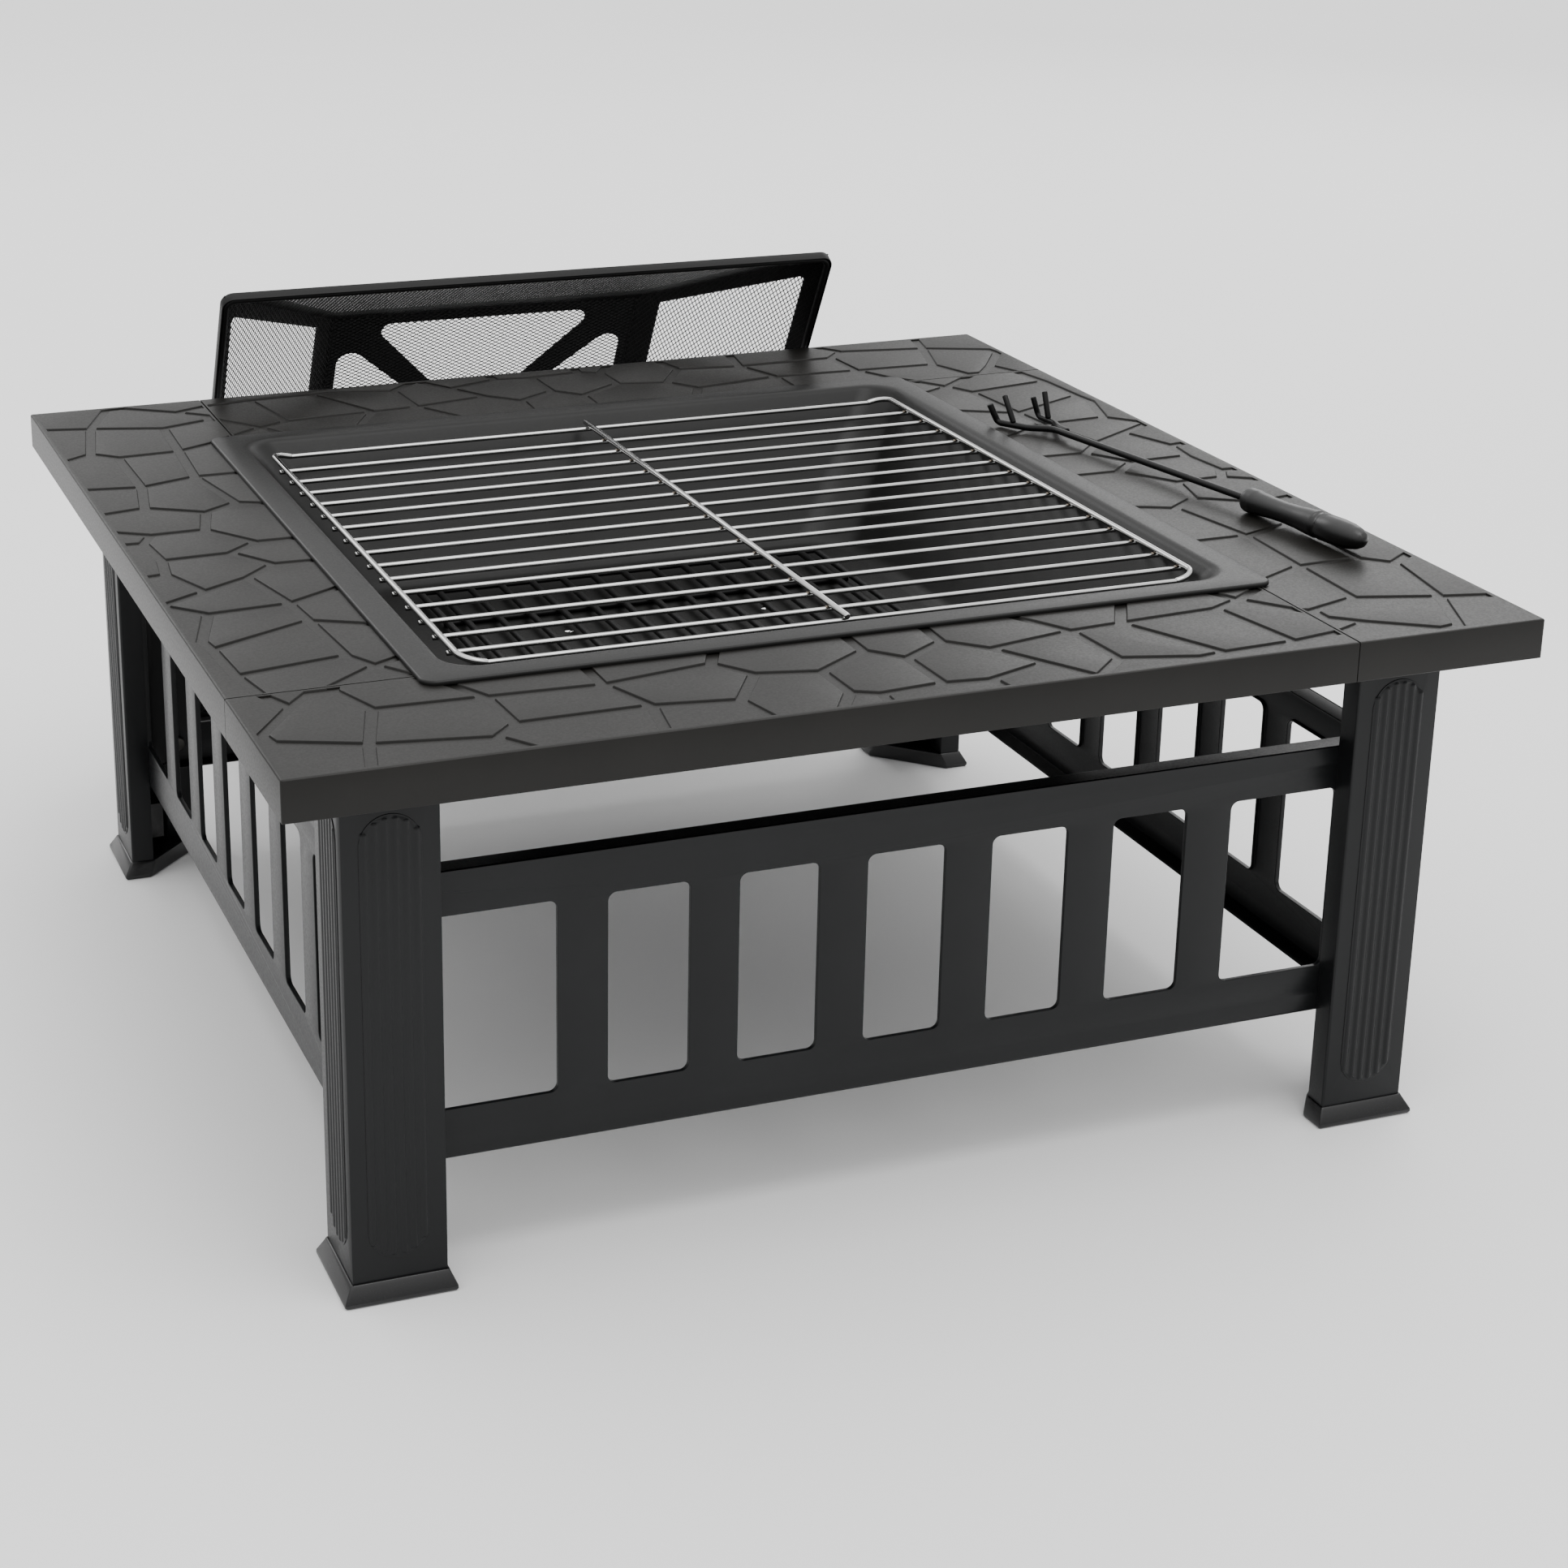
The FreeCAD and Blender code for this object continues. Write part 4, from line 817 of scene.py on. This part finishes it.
# How far the spark screen leans back and is turned on the floor; half its rim, half its flat, its
# depth from rim to flat, and the short straight wall next to the rim.
SCREEN_TILT = math.radians(29.7)
SCREEN_TURN = math.radians(-1.27)
SCREEN_HALF = 257 * MM
SCREEN_FLAT = 137 * MM
SCREEN_DEPTH = 101.7 * MM
SCREEN_WALL = 8 * MM
RIM_MIDDLE = 2.6 * MM


def screen_place():
    """The frame of the spark screen: X to the side, Y up its open face, Z from the rim to the flat."""
    right = Vector((math.cos(SCREEN_TURN), math.sin(SCREEN_TURN), 0))
    back = Vector((-math.sin(SCREEN_TURN), math.cos(SCREEN_TURN), 0))
    rise = UP * math.cos(SCREEN_TILT) - back * math.sin(SCREEN_TILT)
    out = back * math.cos(SCREEN_TILT) + UP * math.sin(SCREEN_TILT)
    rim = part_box("screen_rim_wire")
    middle = (rim[0] + rim[1]) / 2 - out * RIM_MIDDLE
    rotation = Matrix((-right, rise, out)).transposed().to_4x4()
    return Matrix.Translation(middle) @ rotation


def diamond_sheet(name, width, height, outline):
    """A sheet of expanded metal in the XY plane, cut to planes given as (point, outward normal)."""
    size = sizes()
    across = size.diamond_wide
    high = size.diamond_high
    cells = int(width / across + height / high) + 2
    bpy.ops.object.select_all(action="DESELECT")
    bpy.ops.mesh.primitive_grid_add(x_subdivisions=cells, y_subdivisions=cells, size=cells)
    sheet = bpy.context.active_object
    sheet.name = name
    sheet.rotation_euler = (0, 0, math.radians(45))
    settle(sheet)
    sheet.scale = (across / math.sqrt(2), high / math.sqrt(2), 1)
    settle(sheet)
    for point, normal in outline:
        in_edit(sheet)
        bpy.ops.mesh.select_all(action="SELECT")
        bpy.ops.mesh.bisect(plane_co=point, plane_no=normal, clear_outer=True, threshold=1e-7)
        leave_edit()
    in_edit(sheet, "FACE")
    bpy.ops.mesh.select_all(action="SELECT")
    bpy.ops.mesh.inset(thickness=size.strand, use_individual=True)
    bpy.ops.mesh.delete(type="FACE")
    leave_edit()
    return sheet


class FIREPIT_OT_screen(bpy.types.Operator):
    """Finish the shell, rim and handle of the spark screen"""

    bl_idname = "firepit.screen"
    bl_label = "Spark screen"

    def execute(self, context):
        finished_copy("screen_shell", "screen_coat", "screen", 0.3 * MM, 2, 25.0)
        finished_copy("screen_rim_wire", "screen_coat", "screen", 0.3 * MM, 2, 60.0)
        finished_copy("screen_handle", "screen_coat", "screen", 0.4 * MM, 2, 50.0)
        finished_copy("screen_handle_strap", "screen_coat", "screen", 0.3 * MM)
        finished_copy("screen_handle_rivets", "zinc_fastener", "screen", 0.5 * MM, 3)
        return {"FINISHED"}


class FIREPIT_OT_screen_mesh(bpy.types.Operator):
    """Stretch the expanded metal behind the windows of the spark screen"""

    bl_idname = "firepit.screen_mesh"
    bl_label = "Screen mesh"

    def execute(self, context):
        place = screen_place()
        shell_sheet = 1.0 * MM
        gap = 0.15 * MM
        inward = shell_sheet + gap
        mesh_sheet = 0.4 * MM
        pieces = self.slopes(place, inward) + [self.flat(place, inward)]
        for piece in pieces:
            apply_modifier(piece, "SOLIDIFY", thickness=mesh_sheet, offset=-1.0)
            smooth(piece, 30.0)
            hand_over(piece, "screen_wire", "screen", ["screen_mesh"])
        return {"FINISHED"}

    def slopes(self, place, inward):
        """The four sloping sheets, each a trapezium that meets its neighbours at the hips."""
        run = SCREEN_HALF - SCREEN_FLAT
        rise = SCREEN_DEPTH - SCREEN_WALL
        slant = math.hypot(run, rise)
        lean = math.atan2(rise, run)
        low = SCREEN_HALF - 2.2 * MM
        hip = Vector((slant, run, 0)).normalized()
        outline = [
            (Vector((0, 0, 0)), Vector((0, -1, 0))),
            (Vector((0, slant - 1.0 * MM, 0)), Vector((0, 1, 0))),
            (Vector((low, 0, 0)), hip),
            (Vector((-low, 0, 0)), Vector((-hip.x, hip.y, 0))),
        ]
        step = Matrix.Translation((0, -low, SCREEN_WALL)) @ Matrix.Rotation(lean, 4, "X")
        sink = Matrix.Translation((0, 0, -inward))
        pieces = []
        for side in range(4):
            turn = Matrix.Rotation(math.radians(90 * side), 4, "Z")
            piece = diamond_sheet("screen_mesh_slope_%d" % (side + 1), 2 * low, 2 * slant, outline)
            piece.data.transform(place @ turn @ step @ sink)
            pieces.append(piece)
        return pieces

    def flat(self, place, inward):
        """The square sheet behind the flat of the screen."""
        half = SCREEN_FLAT - 1.0 * MM
        normals = [Vector(normal) for normal in ((1, 0, 0), (-1, 0, 0), (0, 1, 0), (0, -1, 0))]
        outline = [(normal * half, normal) for normal in normals]
        piece = diamond_sheet("screen_mesh_flat", 2 * half, 2 * half, outline)
        piece.data.transform(place @ Matrix.Translation((0, 0, SCREEN_DEPTH - inward)))
        return piece


# ---------------------------------------------------------------- fork


class FIREPIT_OT_fork(bpy.types.Operator):
    """Finish the fire fork"""

    bl_idname = "firepit.fork"
    bl_label = "Fire fork"

    def execute(self, context):
        for node in ("fork_shaft", "fork_side_tine", "fork_prongs"):
            finished_copy(node, "fork_steel", "fork", 0.8 * MM, 3, 60.0, 50.0)
        finished_copy("fork_ferrule", "fork_steel", "fork", 0.4 * MM, 2, 60.0, 50.0)
        finished_copy("fork_handle", "fork_grip", "fork", 0.5 * MM, 3, 35.0, 40.0)
        return {"FINISHED"}


# ---------------------------------------------------------------- stage


class FIREPIT_OT_stage(bpy.types.Operator):
    """Lay the floor and set the lights and the camera"""

    bl_idname = "firepit.stage"
    bl_label = "Stage"

    def execute(self, context):
        self.floor()
        self.sky(context)
        self.lamp("Key light", (0.6, -1.6, 4.2), 2.6, 60.0)
        self.lamp("Right back light", (2.8, 2.8, 2.0), 1.8, 20.0)
        self.lamp("Left back light", (-0.9, 3.8, 2.2), 1.6, 16.0)
        self.camera(context)
        return {"FINISHED"}

    def floor(self):
        """A wide matt floor."""
        bpy.ops.object.select_all(action="DESELECT")
        bpy.ops.mesh.primitive_plane_add(size=30.0)
        floor = bpy.context.active_object
        floor.name = "floor"
        material, tree, shader, place = new_material("Pale studio floor")
        tone = tinted(tree, noise(tree, place, 0.8, 2.0), linear("f0f0f0"), linear("f4f4f4"))
        tree.links.new(tone, shader.inputs["Base Color"])
        shader.inputs["Roughness"].default_value = 0.8
        floor.data.materials.append(material)

    def sky(self, context):
        """A white dome that grows brighter from the horizon upwards."""
        world = bpy.data.worlds.new("Studio")
        world.use_nodes = True
        tree = world.node_tree
        tree.nodes.clear()
        place = put(tree, "ShaderNodeTexCoord").outputs["Generated"]
        height = put(tree, "ShaderNodeSeparateXYZ", {"Vector": place}).outputs["Z"]
        glow = spread(tree, height, 0.5, 2.3, 0.0, 1.0)
        sky = put(tree, "ShaderNodeBackground", {"Color": linear("ffffff"), "Strength": glow})
        put(tree, "ShaderNodeOutputWorld", {"Surface": sky.outputs["Background"]})
        context.scene.world = world

    def lamp(self, name, place, size, power):
        """A square area lamp aimed at the middle of the table."""
        light = bpy.data.lights.new(name, "AREA")
        light.energy = power
        light.size = size
        obj = bpy.data.objects.new(name, light)
        obj.location = place
        aim = Vector((0, 0, 0.2)) - Vector(place)
        obj.rotation_euler = aim.to_track_quat("-Z", "Y").to_euler()
        bpy.context.scene.collection.objects.link(obj)

    def camera(self, context):
        """Looks down at the front left corner of the table."""
        look_down = 19.09
        look_right = 19.46
        data = bpy.data.cameras.new("Camera")
        data.lens = 68.56
        data.sensor_width = 36.0
        data.shift_x = 0.1242
        data.shift_y = -0.0982
        camera = bpy.data.objects.new("Camera", data)
        camera.location = Vector((-0.7483, -1.8757, 0.9642)) + Vector((0, TABLE_CENTRE.y, 0))
        camera.rotation_euler = (math.radians(90 - look_down), 0, math.radians(-look_right))
        context.scene.collection.objects.link(camera)
        context.scene.camera = camera


# ---------------------------------------------------------------- panel and registration


PIECES = (
    FIREPIT_OT_top,
    FIREPIT_OT_legs,
    FIREPIT_OT_feet,
    FIREPIT_OT_side_frames,
    FIREPIT_OT_joints,
    FIREPIT_OT_bowl,
    FIREPIT_OT_charcoal_grate,
    FIREPIT_OT_cooking_grate,
    FIREPIT_OT_screen,
    FIREPIT_OT_screen_mesh,
    FIREPIT_OT_fork,
    FIREPIT_OT_stage,
)


class FIREPIT_PT_panel(bpy.types.Panel):
    """Sizes, colours and pieces of the fire pit table"""

    bl_idname = "FIREPIT_PT_panel"
    bl_label = "Fire pit table"
    bl_space_type = "VIEW_3D"
    bl_region_type = "UI"
    bl_category = "Fire pit"

    def draw(self, context):
        for group in (context.scene.firepit_sizes, context.scene.firepit_colours):
            box = self.layout.box()
            for key in group.bl_rna.properties.keys():
                if key not in ("rna_type", "name"):
                    box.prop(group, key)
        for piece in PIECES:
            self.layout.operator(piece.bl_idname)


CLASSES = (FirePitSizes, FirePitColours) + PIECES + (FIREPIT_PT_panel,)


def register():
    for cls in CLASSES:
        bpy.utils.register_class(cls)
    bpy.types.Scene.firepit_sizes = bpy.props.PointerProperty(type=FirePitSizes)
    bpy.types.Scene.firepit_colours = bpy.props.PointerProperty(type=FirePitColours)


def unregister():
    del bpy.types.Scene.firepit_colours
    del bpy.types.Scene.firepit_sizes
    for cls in reversed(CLASSES):
        bpy.utils.unregister_class(cls)


def main():
    """Makes every piece by its operator."""
    register()
    for piece in PIECES:
        group, name = piece.bl_idname.split(".")
        getattr(getattr(bpy.ops, group), name)()


if __name__ == "__main__":
    main()
